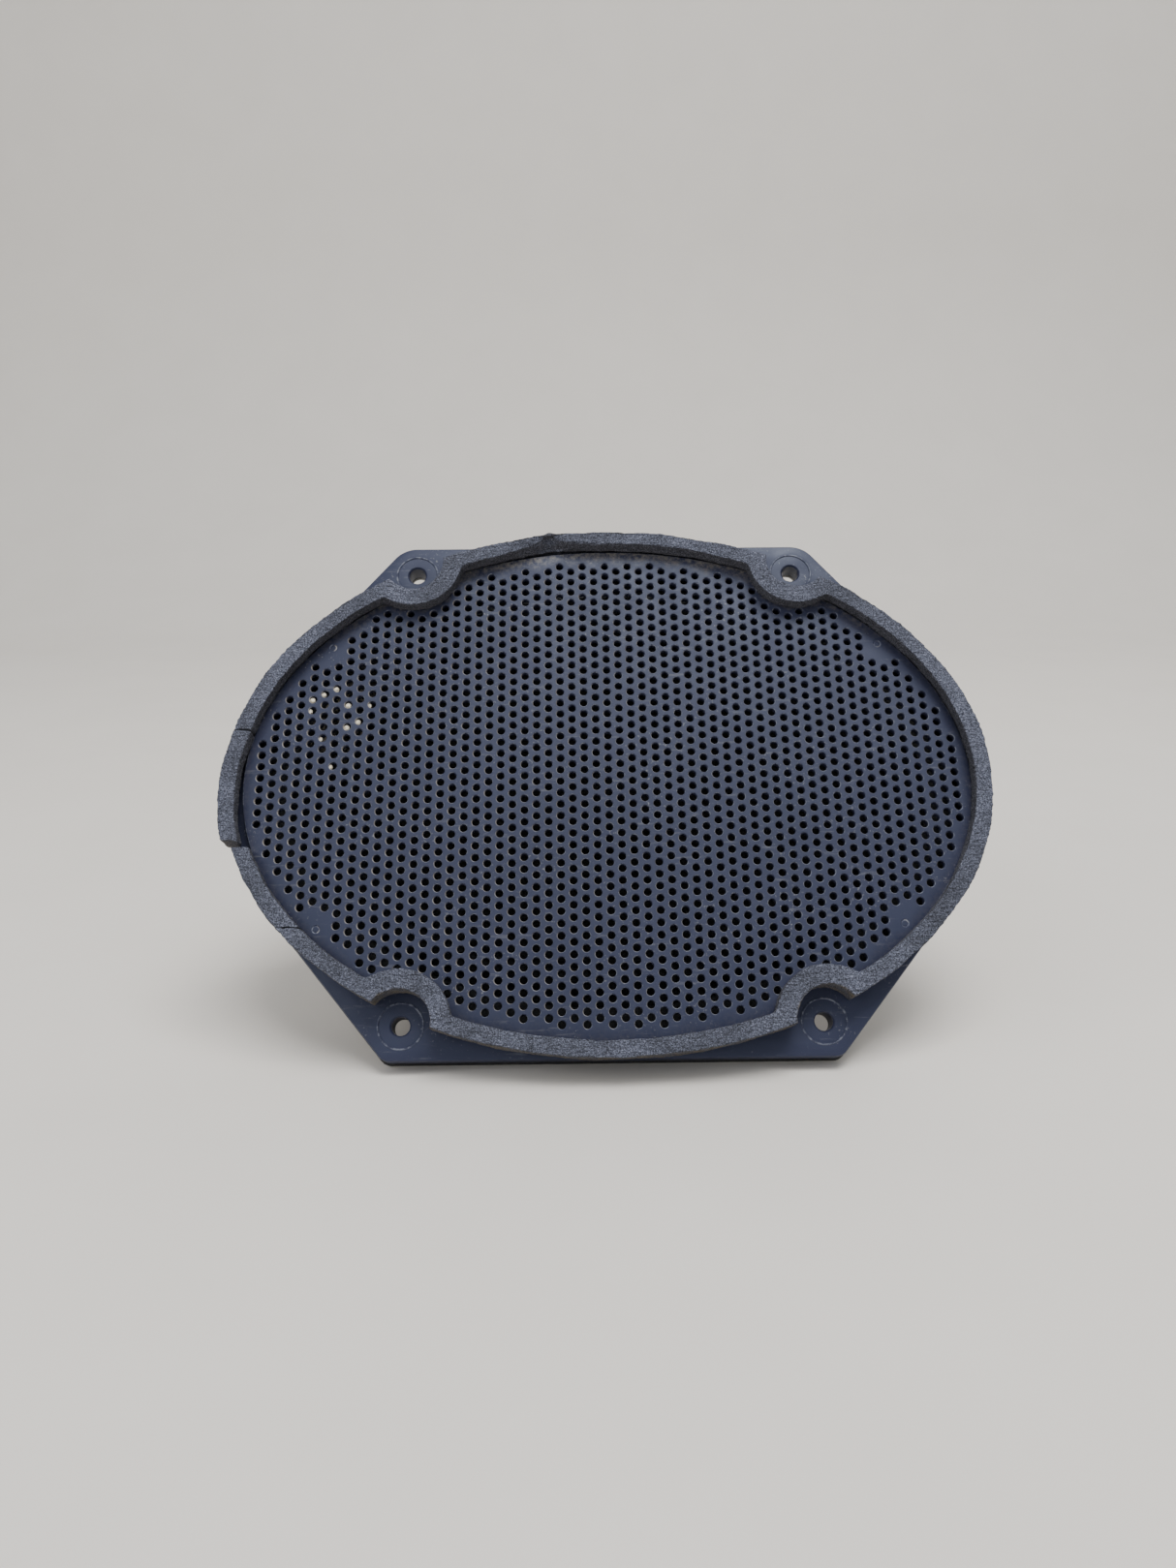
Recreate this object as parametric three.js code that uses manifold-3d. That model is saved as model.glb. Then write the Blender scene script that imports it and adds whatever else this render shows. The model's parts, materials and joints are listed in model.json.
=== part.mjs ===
// Oval 6 x 8 inch full-range car door speaker: a moulded face plate with a perforated oval grille and
// four screw ears, a foam sealing gasket, a pressed basket, an oval cone and a ring-magnet motor.
// It rests on a bench, leaning back on its motor, as such a speaker does when it is stood up.
//
// Every piece is drawn in the speaker's own frame, in millimetres: X along the oval's long axis,
// Y along its short axis, Z out of the front, with z = 0 on the face of the screw ears.
// The whole speaker is leaned back at the end, so that +Z is up and the front faces -Y.

import * as THREE from "three";
import { mergeVertices } from "three/addons/utils/BufferGeometryUtils.js";
import Module from "manifold-3d";

const wasm = await Module();
wasm.setup();

const GAP = 0.3; // clearance between pieces that touch
const OVERLAP = 0.6; // how far joined solids run into each other
const PAST = 1; // how far a cutter runs past a face
const DEGREE = Math.PI / 180;
const OVAL_STEPS = 44;
const ROUND_STEPS = 28;
const HOLE_STEPS = 14;

// Driving dimensions
const FLANGE = {
  halfHeight: 79, // to the straight top and bottom edges
  sideA: 110.8, // half axes of the oval that the two sides follow
  sideB: 79,
  cornerAngle: 50.2 * DEGREE, // of the slanted edges, from the long axis
  topRadius: 9,
  bottomRadius: 4,
  thickness: 6,
};
const EAR = { x: 58.5, y: 69.4, holeRadius: 2.6, seatRadius: 6.3, seatDepth: 0.2 };
const GRILLE = { a: 106.2, b: 75, height: 4, skin: 2, wall: 1.2, pocketRadius: 12.2 };
const STAKE = {
  x: 82.5,
  y: 43,
  bossRadius: 3.6,
  bossFront: -1,
  postRadius: 2,
  headRadius: 3.6,
  headThickness: 1.5,
};
const GASKET = {
  a: 111,
  b: 79.6,
  width: 5.7, // at the sides
  widthAtTop: 5.5,
  front: 9.5,
  cutoutRadius: 8.6, // around each screw
  bulgeRadius: 15, // of the strip where it goes round a screw
  patchTop: 14.5, // the loose piece at the left lies between these heights
  patchBottom: -19,
  patchTurn: -4.1 * DEGREE, // it has come away at its lower end
  buttJoint: -43,
};
const BASKET = {
  lip: 0.6, // how far its flange shows past the face plate
  flangeThickness: 1.2,
  wall: 1.6,
  openingA: 92,
  shoulderA: 89.2, // where the steep rim turns into the sloping wall
  shoulderZ: -13,
  shoulderBackA: 90.8,
  shoulderBackZ: -14.2,
  ledgeRadius: 41.5, // the spider is glued here
  ledgeBackRadius: 42.2,
  ledgeZ: -36.6,
  seatRadius: 33.6,
  seatZ: -46,
  seatHoleRadius: 15.5,
  windows: 12,
  windowInner: 45,
  windowOuter: 83,
  windowHalfInner: 5.5,
  windowHalfOuter: 9.5,
  windowBack: -41,
  windowFront: -14,
};
const OVAL_SQUEEZE = 31; // long half axis less short half axis, at the cone's rim and outside it
const SURROUND = { inner: 80, rollInner: 83, rollOuter: 92.2, outer: 95.2, thickness: 0.7, rollHeight: 3.6 };
const CONE = { rim: 83, shelf: 80, neck: 13, rimZ: -6.3, neckZ: -31, thickness: 0.8, flare: 1.2 };
const DUST_CAP = { radius: 17, height: 6, thickness: 0.6 };
const COIL = {
  formerInner: 12.4,
  formerOuter: 12.7,
  windingInner: 12.9,
  windingOuter: 13.6,
  windingLength: 9,
  bareEnd: 0.6, // of the former, behind the winding
  neckReach: 1.2, // of the former, in front of the cone's neck
};
const SPIDER = { inner: 13, outer: 33, lip: 39.5, waves: 3, waveHeight: 1.3, thickness: 0.6 };
const TOP_PLATE = { radius: 34, holeRadius: 14.1, thickness: 4.5 };
const MAGNET = { radius: 38.5, holeRadius: 17.5, thickness: 11 };
const YOKE = { radius: 38.5, thickness: 6, poleRadius: 12, poleZ: -46.6, chamfer: 0.8, fillet: 0.4 };
const RIVET = { circle: 24, headRadius: 3.2, headHeight: 1.3, shankRadius: 1.6, shankLength: 6 };
const TERMINAL = { halfWidth: 11, length: 11, thickness: 2.5 };
const TERMINAL_RIVET = { radius: 1.3, headRadius: 2.4, headHeight: 1, shankEnd: -2.2 };
const BLADE = { x: 6.6, thickness: 0.8, start: -4.5, end: 13, widthPositive: 6.3, widthNegative: 4.8 };
const EYELET = { ring: 35, angle: 70 * DEGREE, radius: 1.8, height: 1.4, behindCone: 1.2 };
const LEAD_RADIUS = 0.6;

// Heights that follow from them
const flangeBack = -FLANGE.thickness;
const basketFront = flangeBack - GAP;
const basketBack = basketFront - BASKET.flangeThickness;
const seatBack = BASKET.seatZ - BASKET.wall;
const topPlateFront = seatBack - GAP;
const magnetFront = topPlateFront - TOP_PLATE.thickness - GAP;
const yokeFront = magnetFront - MAGNET.thickness - GAP;
const yokeBack = yokeFront - YOKE.thickness;
const voiceGapZ = topPlateFront - TOP_PLATE.thickness / 2;

// ---- Geometry helpers ----

function arc(x, y, a, b, from, to, steps) {
  return Array.from({ length: steps + 1 }, (_, i) => {
    const t = from + ((to - from) * i) / steps;
    return new THREE.Vector2(x + a * Math.cos(t), y + b * Math.sin(t));
  });
}

function oval(a, b) {
  return arc(0, 0, a, b, 0, 2 * Math.PI * (1 - 1 / OVAL_STEPS), OVAL_STEPS - 1);
}

// A flat slab of an outline, from z = back to z = front.
function slab(outline, back, front) {
  const options = { depth: front - back, bevelEnabled: false };
  return new THREE.ExtrudeGeometry(new THREE.Shape(outline), options).translate(0, 0, back);
}

function disc(x, y, radius, back, front, steps = HOLE_STEPS) {
  return new THREE.CylinderGeometry(radius, radius, front - back, steps)
    .rotateX(Math.PI / 2)
    .translate(x, y, (front + back) / 2);
}

// A profile of [radius, z] points turned about Z, counterclockwise, and squeezed along Y into an oval:
// squeeze says how much shorter the half axis along Y is, at each radius.
function lathe(profile, steps = ROUND_STEPS, squeeze = () => 0) {
  const points = profile.map(([radius, z]) => new THREE.Vector2(radius, z));
  const geometry = new THREE.LatheGeometry(points, steps).rotateX(Math.PI / 2);
  const position = geometry.attributes.position;
  for (let i = 0; i < position.count; i++) {
    const y = position.getY(i);
    const radius = Math.hypot(position.getX(i), y);
    if (radius > 0) position.setY(i, (y * (radius - squeeze(radius))) / radius);
  }
  return geometry;
}

function ring(inner, outer, back, front, steps = ROUND_STEPS) {
  const corners = [[inner, back], [outer, back], [outer, front], [inner, front], [inner, back]];
  return lathe(corners, steps);
}

function fourTimes(x, y, make) {
  return [make(x, y), make(-x, y), make(-x, -y), make(x, -y)];
}

// ---- Boolean cuts and joins ----

function toSolid(geometry) {
  const bare = geometry.index ? geometry.toNonIndexed() : geometry.clone();
  bare.deleteAttribute("normal");
  bare.deleteAttribute("uv");
  const merged = mergeVertices(bare, 1e-4);
  const vertProperties = new Float32Array(merged.attributes.position.array);
  const triVerts = new Uint32Array(merged.index.array);
  return new wasm.Manifold(new wasm.Mesh({ numProp: 3, vertProperties, triVerts }));
}

function toGeometry(solid) {
  const mesh = solid.getMesh();
  const geometry = new THREE.BufferGeometry();
  geometry.setAttribute("position", new THREE.BufferAttribute(mesh.vertProperties, mesh.numProp));
  geometry.setIndex(new THREE.BufferAttribute(mesh.triVerts, 1));
  return geometry;
}

function join(first, ...others) {
  return toGeometry(others.reduce((solid, other) => solid.add(toSolid(other)), toSolid(first)));
}

function cut(first, ...tools) {
  return toGeometry(tools.reduce((solid, tool) => solid.subtract(toSolid(tool)), toSolid(first)));
}

function common(first, second) {
  return toGeometry(toSolid(first).intersect(toSolid(second)));
}

// ---- Face plate ----

// The outline shared by the face plate and the basket's flange: oval sides, straight slanted edges
// that leave the sides as tangents, and straight top and bottom edges with rounded corners.
function flangeOutline(grow) {
  const a = FLANGE.sideA + grow;
  const b = FLANGE.sideB + grow;
  const top = FLANGE.halfHeight + grow;
  const angle = FLANGE.cornerAngle;
  const slope = Math.tan(angle);
  const side = Math.atan2(b, slope * a);
  const cornerX = (Math.hypot(slope * a, b) - top) / slope;
  const corner = (signX, signY, radius, from) => {
    const x = signX * (cornerX - radius * Math.tan(angle / 2));
    return arc(x, signY * (top - radius), radius, radius, from, from + angle, 5);
  };
  return [
    ...arc(0, 0, a, b, -side, side, 14),
    ...corner(1, 1, FLANGE.topRadius, Math.PI / 2 - angle),
    ...corner(-1, 1, FLANGE.topRadius, Math.PI / 2),
    ...arc(0, 0, a, b, Math.PI - side, Math.PI + side, 14),
    ...corner(-1, -1, FLANGE.bottomRadius, 1.5 * Math.PI - angle),
    ...corner(1, -1, FLANGE.bottomRadius, 1.5 * Math.PI),
  ];
}

// An oval slab that steps back round each ear.
function pocketedOval(grow, back, front, floor) {
  const pockets = fourTimes(EAR.x, EAR.y, (x, y) => {
    return disc(x, y, GRILLE.pocketRadius - grow, floor, front + PAST, ROUND_STEPS);
  });
  return cut(slab(oval(GRILLE.a + grow, GRILLE.b + grow), back, front), ...pockets);
}

// The raised oval lid is hollow behind, and its pockets leave room for the screws. Each ear has a
// shallow round seat, which the screw's washer head pressed into it.
function facePlate() {
  const { x, y, holeRadius, seatRadius, seatDepth } = EAR;
  const lid = pocketedOval(0, -OVERLAP, GRILLE.height, 0);
  const hollowBack = flangeBack - PAST;
  const hollow = pocketedOval(-GRILLE.wall, hollowBack, GRILLE.height - GRILLE.skin, hollowBack - PAST);
  const shell = cut(join(slab(flangeOutline(0), flangeBack, 0), lid), hollow);
  const screwHoles = fourTimes(x, y, (ex, ey) => disc(ex, ey, holeRadius, flangeBack - PAST, PAST));
  const seats = fourTimes(x, y, (ex, ey) => disc(ex, ey, seatRadius, -seatDepth, PAST, ROUND_STEPS));
  return join(cut(shell, ...screwHoles, ...seats), ...fourTimes(STAKE.x, STAKE.y, stake));
}

// A post behind the face plate, headed over behind the basket's flange.
function stake(x, y) {
  const headFront = basketBack - GAP;
  const headBack = headFront - STAKE.headThickness;
  const boss = disc(x, y, STAKE.bossRadius, flangeBack, STAKE.bossFront);
  const post = disc(x, y, STAKE.postRadius, headBack, flangeBack + OVERLAP);
  return join(boss, post, disc(x, y, STAKE.headRadius, headBack, headFront));
}

// ---- Gasket: one foam strip, which has split into three pieces ----

// It is rabbeted at the back to sit over the edge of the lid.

function wholeGasket() {
  const back = GAP;
  const front = GASKET.front;
  const insideA = GASKET.a - GASKET.width;
  const insideB = GASKET.b - GASKET.widthAtTop;
  const bulges = fourTimes(EAR.x, EAR.y, (x, y) => {
    return disc(x, y, GASKET.bulgeRadius, back - PAST, front + PAST, ROUND_STEPS);
  });
  const inside = cut(slab(oval(insideA, insideB), back - PAST, front + PAST), ...bulges);
  const screwCutouts = fourTimes(EAR.x, EAR.y, (x, y) => {
    return disc(x, y, GASKET.cutoutRadius, back - PAST, front + PAST, ROUND_STEPS);
  });
  const lid = pocketedOval(GAP, back - PAST, GRILLE.height + GAP, back - 2 * PAST);
  return cut(slab(oval(GASKET.a, GASKET.b), back, front), inside, lid, ...screwCutouts);
}

// A block that takes in the left-hand stretch of the gasket between two heights.
function leftStretch(bottom, top) {
  const depth = 4 * GASKET.front;
  return new THREE.BoxGeometry(GASKET.a, top - bottom, depth).translate(-GASKET.a, (top + bottom) / 2, 0);
}

function gasketPatch(whole) {
  const piece = common(whole, leftStretch(GASKET.patchBottom + GAP, GASKET.patchTop - GAP));
  const pivotX = -GASKET.a * Math.sqrt(1 - (GASKET.patchTop / GASKET.b) ** 2);
  return piece
    .translate(-pivotX, -GASKET.patchTop, 0)
    .rotateZ(GASKET.patchTurn)
    .translate(pivotX, GASKET.patchTop, 0);
}

function gasketLowerLeft(whole) {
  return common(whole, leftStretch(GASKET.buttJoint + GAP, GASKET.patchBottom - 2 * GAP));
}

function gasketMain(whole) {
  return cut(whole, leftStretch(GASKET.buttJoint, GASKET.patchTop));
}

// ---- Basket ----

// The basket is oval at its flange and round at the spider's ledge.
function basketSqueeze(radius) {
  const oval = (radius - BASKET.ledgeRadius) / (BASKET.openingA - BASKET.ledgeRadius);
  return OVAL_SQUEEZE * THREE.MathUtils.clamp(oval, 0, 1);
}

function basketBowl() {
  const { openingA, wall, shoulderA, shoulderZ, shoulderBackA, shoulderBackZ } = BASKET;
  const { ledgeRadius, ledgeBackRadius, ledgeZ, seatRadius, seatZ, seatHoleRadius } = BASKET;
  const profile = [
    [seatHoleRadius, seatBack],
    [seatRadius + wall, seatBack],
    [seatRadius + wall, ledgeZ - wall],
    [ledgeBackRadius, ledgeZ - wall],
    [shoulderBackA, shoulderBackZ],
    [openingA + wall, basketBack],
    [openingA + wall, basketFront],
    [openingA, basketFront],
    [shoulderA, shoulderZ],
    [ledgeRadius, ledgeZ],
    [seatRadius, ledgeZ],
    [seatRadius, seatZ],
    [seatHoleRadius, seatZ],
    [seatHoleRadius, seatBack],
  ];
  return lathe(profile, OVAL_STEPS, basketSqueeze);
}

// A window is cut straight back through the sloping wall; it widens towards the flange.
function basketWindow(index) {
  const angle = ((index + 0.5) * 2 * Math.PI) / BASKET.windows;
  const along = (radius) => {
    const shortAxis = radius - basketSqueeze(radius);
    return new THREE.Vector2(radius * Math.cos(angle), shortAxis * Math.sin(angle));
  };
  const inner = along(BASKET.windowInner);
  const outer = along(BASKET.windowOuter);
  const across = outer.clone().sub(inner).normalize().rotateAround(new THREE.Vector2(), Math.PI / 2);
  const edge = (point, halfWidth) => point.clone().addScaledVector(across, halfWidth);
  const outline = [
    edge(inner, -BASKET.windowHalfInner),
    edge(outer, -BASKET.windowHalfOuter),
    edge(outer, BASKET.windowHalfOuter),
    edge(inner, BASKET.windowHalfInner),
  ];
  return slab(outline, BASKET.windowBack, BASKET.windowFront);
}

function basket() {
  const { openingA } = BASKET;
  const insideWall = oval(openingA + OVERLAP, openingA + OVERLAP - OVAL_SQUEEZE);
  const opening = slab(insideWall, basketBack - PAST, basketFront + PAST);
  const flange = cut(slab(flangeOutline(BASKET.lip), basketBack, basketFront), opening);
  const windows = Array.from({ length: BASKET.windows }, (_, i) => basketWindow(i));
  const through = (radius) => (x, y) => disc(x, y, radius, basketBack - PAST, basketFront + PAST);
  const rivetHoles = rivetPlaces().map(([x, y]) => {
    return disc(x, y, RIVET.shankRadius + GAP, seatBack - PAST, BASKET.seatZ + PAST);
  });
  return cut(
    join(flange, basketBowl()),
    ...windows,
    ...fourTimes(EAR.x, EAR.y, through(EAR.holeRadius)),
    ...fourTimes(STAKE.x, STAKE.y, through(STAKE.postRadius + GAP)),
    ...rivetHoles,
    terminalPlaced(disc(0, 0, TERMINAL_RIVET.radius + GAP, -3 * BASKET.wall, 3 * BASKET.wall)),
  );
}

// ---- Moving assembly ----

function rimSqueeze() {
  return OVAL_SQUEEZE;
}

// A half-roll of foam between the cone's rim and the basket's flange, with a flat lip on each side.
function surround() {
  const { inner, rollInner, rollOuter, outer, thickness, rollHeight } = SURROUND;
  const base = basketFront + GAP + thickness;
  const middle = (rollInner + rollOuter) / 2;
  const halfWidth = (rollOuter - rollInner) / 2;
  const roll = (shrink) => {
    const crest = rollHeight - shrink;
    const points = arc(middle, base - shrink, halfWidth - shrink, crest, 0, Math.PI, 6);
    return points.map((p) => [p.x, p.y]);
  };
  const back = base - thickness;
  const profile = [
    [rollOuter - thickness, back],
    [outer, back],
    [outer, base],
    ...roll(0),
    [inner, base],
    [inner, back],
    [rollInner + thickness, back],
    ...roll(thickness).reverse().slice(1, -1),
    [rollOuter - thickness, back],
  ];
  return lathe(profile, OVAL_STEPS, rimSqueeze);
}

function coneHeight(radius) {
  const slant = THREE.MathUtils.clamp((radius - CONE.neck) / (CONE.shelf - CONE.neck), 0, 1);
  return CONE.rimZ + (CONE.neckZ - CONE.rimZ) * (1 - slant) ** CONE.flare;
}

function coneSqueeze(radius) {
  return (OVAL_SQUEEZE * Math.max(radius - CONE.neck, 0)) / (CONE.rim - CONE.neck);
}

function cone() {
  const radii = [0, 1, 2, 3, 4].map((i) => CONE.shelf + ((CONE.neck - CONE.shelf) * i) / 4);
  const front = [CONE.rim, ...radii].map((radius) => [radius, coneHeight(radius)]);
  const back = front.map(([radius, z]) => [radius, z - CONE.thickness]).reverse();
  return lathe([...back, ...front, back[0]], OVAL_STEPS, coneSqueeze);
}

// Points from the rim of a dome to its top, which is on the axis.
function dome(radius, height, base, steps) {
  const points = Array.from({ length: steps }, (_, i) => {
    const t = (i / steps) * (Math.PI / 2);
    return [radius * Math.cos(t), base + height * Math.sin(t)];
  });
  return [...points, [0, base + height]];
}

function dustCap() {
  const { radius, height, thickness } = DUST_CAP;
  const base = coneHeight(radius) + 2 * GAP;
  const outside = dome(radius, height, base, 4);
  const inside = dome(radius - thickness, height - thickness, base, 4).reverse();
  return lathe([...inside, ...outside], ROUND_STEPS, coneSqueeze);
}

function former() {
  const back = voiceGapZ - COIL.windingLength / 2 - COIL.bareEnd;
  return ring(COIL.formerInner, COIL.formerOuter, back, CONE.neckZ + COIL.neckReach);
}

function winding() {
  const half = COIL.windingLength / 2;
  return ring(COIL.windingInner, COIL.windingOuter, voiceGapZ - half, voiceGapZ + half);
}

// A corrugated disc that centres the voice coil, glued to the basket's ledge at its edge.
function spider() {
  const { inner, outer, lip, waves, waveHeight, thickness } = SPIDER;
  const seat = BASKET.ledgeZ + GAP;
  const steps = waves * 4;
  const back = Array.from({ length: steps + 1 }, (_, i) => {
    const wave = Math.sin((i / steps) * waves * 2 * Math.PI) * waveHeight;
    return [inner + ((outer - inner) * i) / steps, seat + wave];
  });
  const front = back.map(([radius, z]) => [radius, z + thickness]).reverse();
  return lathe([...back, [lip, seat], [lip, seat + thickness], ...front, back[0]]);
}

function eyeletPlace(side) {
  const radius = EYELET.ring;
  const y = (radius - coneSqueeze(radius)) * Math.sin(EYELET.angle);
  const z = coneHeight(radius) - CONE.thickness - EYELET.behindCone;
  return new THREE.Vector3(side * radius * Math.cos(EYELET.angle), y, z);
}

function eyelet(side) {
  const place = eyeletPlace(side);
  return disc(place.x, place.y, EYELET.radius, place.z - EYELET.height, place.z);
}

// ---- Motor ----

function rivetPlaces() {
  return fourTimes(1, 1, (x, y) => [x * RIVET.circle * Math.SQRT1_2, y * RIVET.circle * Math.SQRT1_2]);
}

function topPlate() {
  const back = topPlateFront - TOP_PLATE.thickness;
  const plate = ring(TOP_PLATE.holeRadius, TOP_PLATE.radius, back, topPlateFront);
  const holes = rivetPlaces().map(([x, y]) => {
    return disc(x, y, RIVET.shankRadius + GAP, back - PAST, topPlateFront + PAST);
  });
  return cut(plate, ...holes);
}

function motorRivet([x, y]) {
  const headBack = BASKET.seatZ + GAP;
  const shank = disc(x, y, RIVET.shankRadius, headBack - RIVET.shankLength, headBack + OVERLAP);
  return join(disc(x, y, RIVET.headRadius, headBack, headBack + RIVET.headHeight), shank);
}

function magnet() {
  return ring(MAGNET.holeRadius, MAGNET.radius, magnetFront - MAGNET.thickness, magnetFront);
}

// The back plate and its centre pole are one turned piece.
function yoke() {
  const { radius, poleRadius, poleZ, chamfer, fillet } = YOKE;
  return lathe([
    [0, yokeBack],
    [radius, yokeBack],
    [radius, yokeFront],
    [poleRadius + fillet, yokeFront],
    [poleRadius, yokeFront + fillet],
    [poleRadius, poleZ - chamfer],
    [poleRadius - chamfer, poleZ],
    [0, poleZ],
  ]);
}

// ---- Terminals ----

// The strip lies against the sloping wall above the cone. Its own frame has Z out of that wall and
// Y down the slope towards the motor.
function terminalPlaced(geometry) {
  const top = new THREE.Vector2(BASKET.shoulderBackA - OVAL_SQUEEZE, BASKET.shoulderBackZ);
  const bottom = new THREE.Vector2(BASKET.ledgeBackRadius, BASKET.ledgeZ - BASKET.wall);
  const middle = top.clone().lerp(bottom, 0.5);
  const down = bottom.clone().sub(top).normalize();
  const turn = Math.atan2(down.y, down.x);
  return geometry.rotateX(turn).translate(0, middle.x, middle.y);
}

function terminalStrip() {
  const { halfWidth, length, thickness } = TERMINAL;
  const strip = new THREE.BoxGeometry(2 * halfWidth, length, thickness).translate(0, 0, GAP + thickness / 2);
  return terminalPlaced(cut(strip, disc(0, 0, TERMINAL_RIVET.radius + GAP, -PAST, thickness + 2 * PAST)));
}

function terminalRivet() {
  const { radius, headRadius, headHeight, shankEnd } = TERMINAL_RIVET;
  const seat = TERMINAL.thickness + 2 * GAP;
  const head = disc(0, 0, headRadius, seat, seat + headHeight);
  return terminalPlaced(join(head, disc(0, 0, radius, shankEnd, seat + OVERLAP)));
}

function terminalBlade(side, width) {
  const { x, thickness, start, end } = BLADE;
  const z = TERMINAL.thickness + 2 * GAP + thickness / 2;
  const blade = new THREE.BoxGeometry(width, end - start, thickness);
  return terminalPlaced(blade.translate(side * x, (start + end) / 2, z));
}

// A braided lead from a blade, in through the nearest basket window, to the eyelet on the cone.
function lead(side) {
  const end = eyeletPlace(side);
  const route = [
    [side * 6.8, 59.6, -25.2],
    [side * 10, 61.4, -23.6],
    [side * 15, 58.6, -23.4],
    [side * 17.2, 52, -26],
    [side * 15.6, 44, -28.5],
    [side * 13, 32, -29.5],
    [end.x, end.y, end.z - EYELET.height - LEAD_RADIUS - GAP],
  ];
  const path = new THREE.CatmullRomCurve3(route.map((p) => new THREE.Vector3(...p)));
  const section = new THREE.Shape(arc(0, 0, LEAD_RADIUS, LEAD_RADIUS, 0, (5 / 3) * Math.PI, 5));
  return new THREE.ExtrudeGeometry(section, { steps: 24, extrudePath: path, bevelEnabled: false });
}

// ---- Assembly ----

function finish(color, roughness, metalness = 0) {
  return () => new THREE.MeshStandardMaterial({ color, roughness, metalness });
}

const mouldedPlastic = finish(0x262b38, 0.45);
const gasketFoam = finish(0x3a3f49, 0.9);
const surroundFoam = finish(0x18191b, 0.85);
const blackPaint = finish(0x101113, 0.5, 0.3);
const conePaper = finish(0x151515, 0.9);
const spiderCloth = finish(0xb08d4a, 0.95);
const formerPaper = finish(0x8a6b45, 0.8);
const copper = finish(0xb3663a, 0.4, 0.9);
const platedSteel = finish(0xa9a9a2, 0.4, 0.9);
const ferrite = finish(0x2b2c2e, 0.75);
const terminalBoard = finish(0x1b1714, 0.6);
const tinnedBrass = finish(0xb9b29c, 0.35, 0.9);

const speaker = new THREE.Group();

function add(name, geometry, material) {
  const mesh = new THREE.Mesh(geometry, material());
  mesh.name = name;
  speaker.add(mesh);
}

add("face_plate", facePlate(), mouldedPlastic);
const gasket = wholeGasket();
add("gasket_main", gasketMain(gasket), gasketFoam);
add("gasket_lower_left", gasketLowerLeft(gasket), gasketFoam);
add("gasket_patch", gasketPatch(gasket), gasketFoam);
add("basket", basket(), blackPaint);
add("surround", surround(), surroundFoam);
add("cone", cone(), conePaper);
add("dust_cap", dustCap(), conePaper);
add("voice_coil_former", former(), formerPaper);
add("voice_coil_winding", winding(), copper);
add("spider", spider(), spiderCloth);
add("top_plate", topPlate(), platedSteel);
add("magnet", magnet(), ferrite);
add("yoke", yoke(), platedSteel);
rivetPlaces().forEach((place, i) => add(`motor_rivet_${i + 1}`, motorRivet(place), platedSteel));
add("terminal_strip", terminalStrip(), terminalBoard);
add("terminal_rivet", terminalRivet(), platedSteel);
add("blade_positive", terminalBlade(1, BLADE.widthPositive), tinnedBrass);
add("blade_negative", terminalBlade(-1, BLADE.widthNegative), tinnedBrass);
add("lead_positive", lead(1), copper);
add("lead_negative", lead(-1), copper);
add("eyelet_positive", eyelet(1), tinnedBrass);
add("eyelet_negative", eyelet(-1), tinnedBrass);

// It stands on the lower back edge of the basket's flange and the lower back edge of the yoke.
const flangeReach = FLANGE.halfHeight + BASKET.lip - YOKE.radius;
const lean = Math.atan2(flangeReach, basketBack - yokeBack);
speaker.rotation.x = Math.PI / 2 - lean;

// The origin is on the bench, at the middle of the speaker's bounding box.
const part = new THREE.Group();
part.add(speaker);
part.updateMatrixWorld(true);
const box = new THREE.Box3().setFromObject(part, true);
speaker.position.set(-(box.min.x + box.max.x) / 2, -(box.min.y + box.max.y) / 2, -box.min.z);

export default part;
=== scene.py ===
"""The looks of an oval 6 x 8 inch car door speaker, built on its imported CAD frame.

Every piece is drawn in the speaker's own frame, in millimetres: X along the oval's long axis, Y up its
short axis, Z out of the front, with z = 0 on the face of the screw ears. SPEAKER places it in the row.
"""

import json
import math
import random

import bmesh
import bpy
import numpy as np
from mathutils import Matrix, Vector, geometry, noise


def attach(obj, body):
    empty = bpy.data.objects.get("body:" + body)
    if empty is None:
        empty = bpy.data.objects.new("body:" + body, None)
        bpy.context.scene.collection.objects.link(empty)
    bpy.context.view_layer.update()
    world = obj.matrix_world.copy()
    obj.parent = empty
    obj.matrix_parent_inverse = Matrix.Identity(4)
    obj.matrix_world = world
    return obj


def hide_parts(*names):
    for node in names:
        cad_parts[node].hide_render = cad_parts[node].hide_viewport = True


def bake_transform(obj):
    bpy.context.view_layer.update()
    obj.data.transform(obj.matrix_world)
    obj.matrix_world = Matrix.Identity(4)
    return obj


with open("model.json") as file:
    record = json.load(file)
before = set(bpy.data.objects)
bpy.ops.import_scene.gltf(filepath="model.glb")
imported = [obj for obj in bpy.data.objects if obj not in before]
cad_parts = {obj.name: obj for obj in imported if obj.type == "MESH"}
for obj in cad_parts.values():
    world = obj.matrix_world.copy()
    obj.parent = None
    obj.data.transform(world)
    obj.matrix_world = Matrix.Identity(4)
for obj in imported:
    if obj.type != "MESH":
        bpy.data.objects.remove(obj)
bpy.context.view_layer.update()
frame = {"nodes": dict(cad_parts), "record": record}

MM = 0.001

# Points of a cut mesh that lie closer together than this are merged
SLIVER = 0.03

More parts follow.
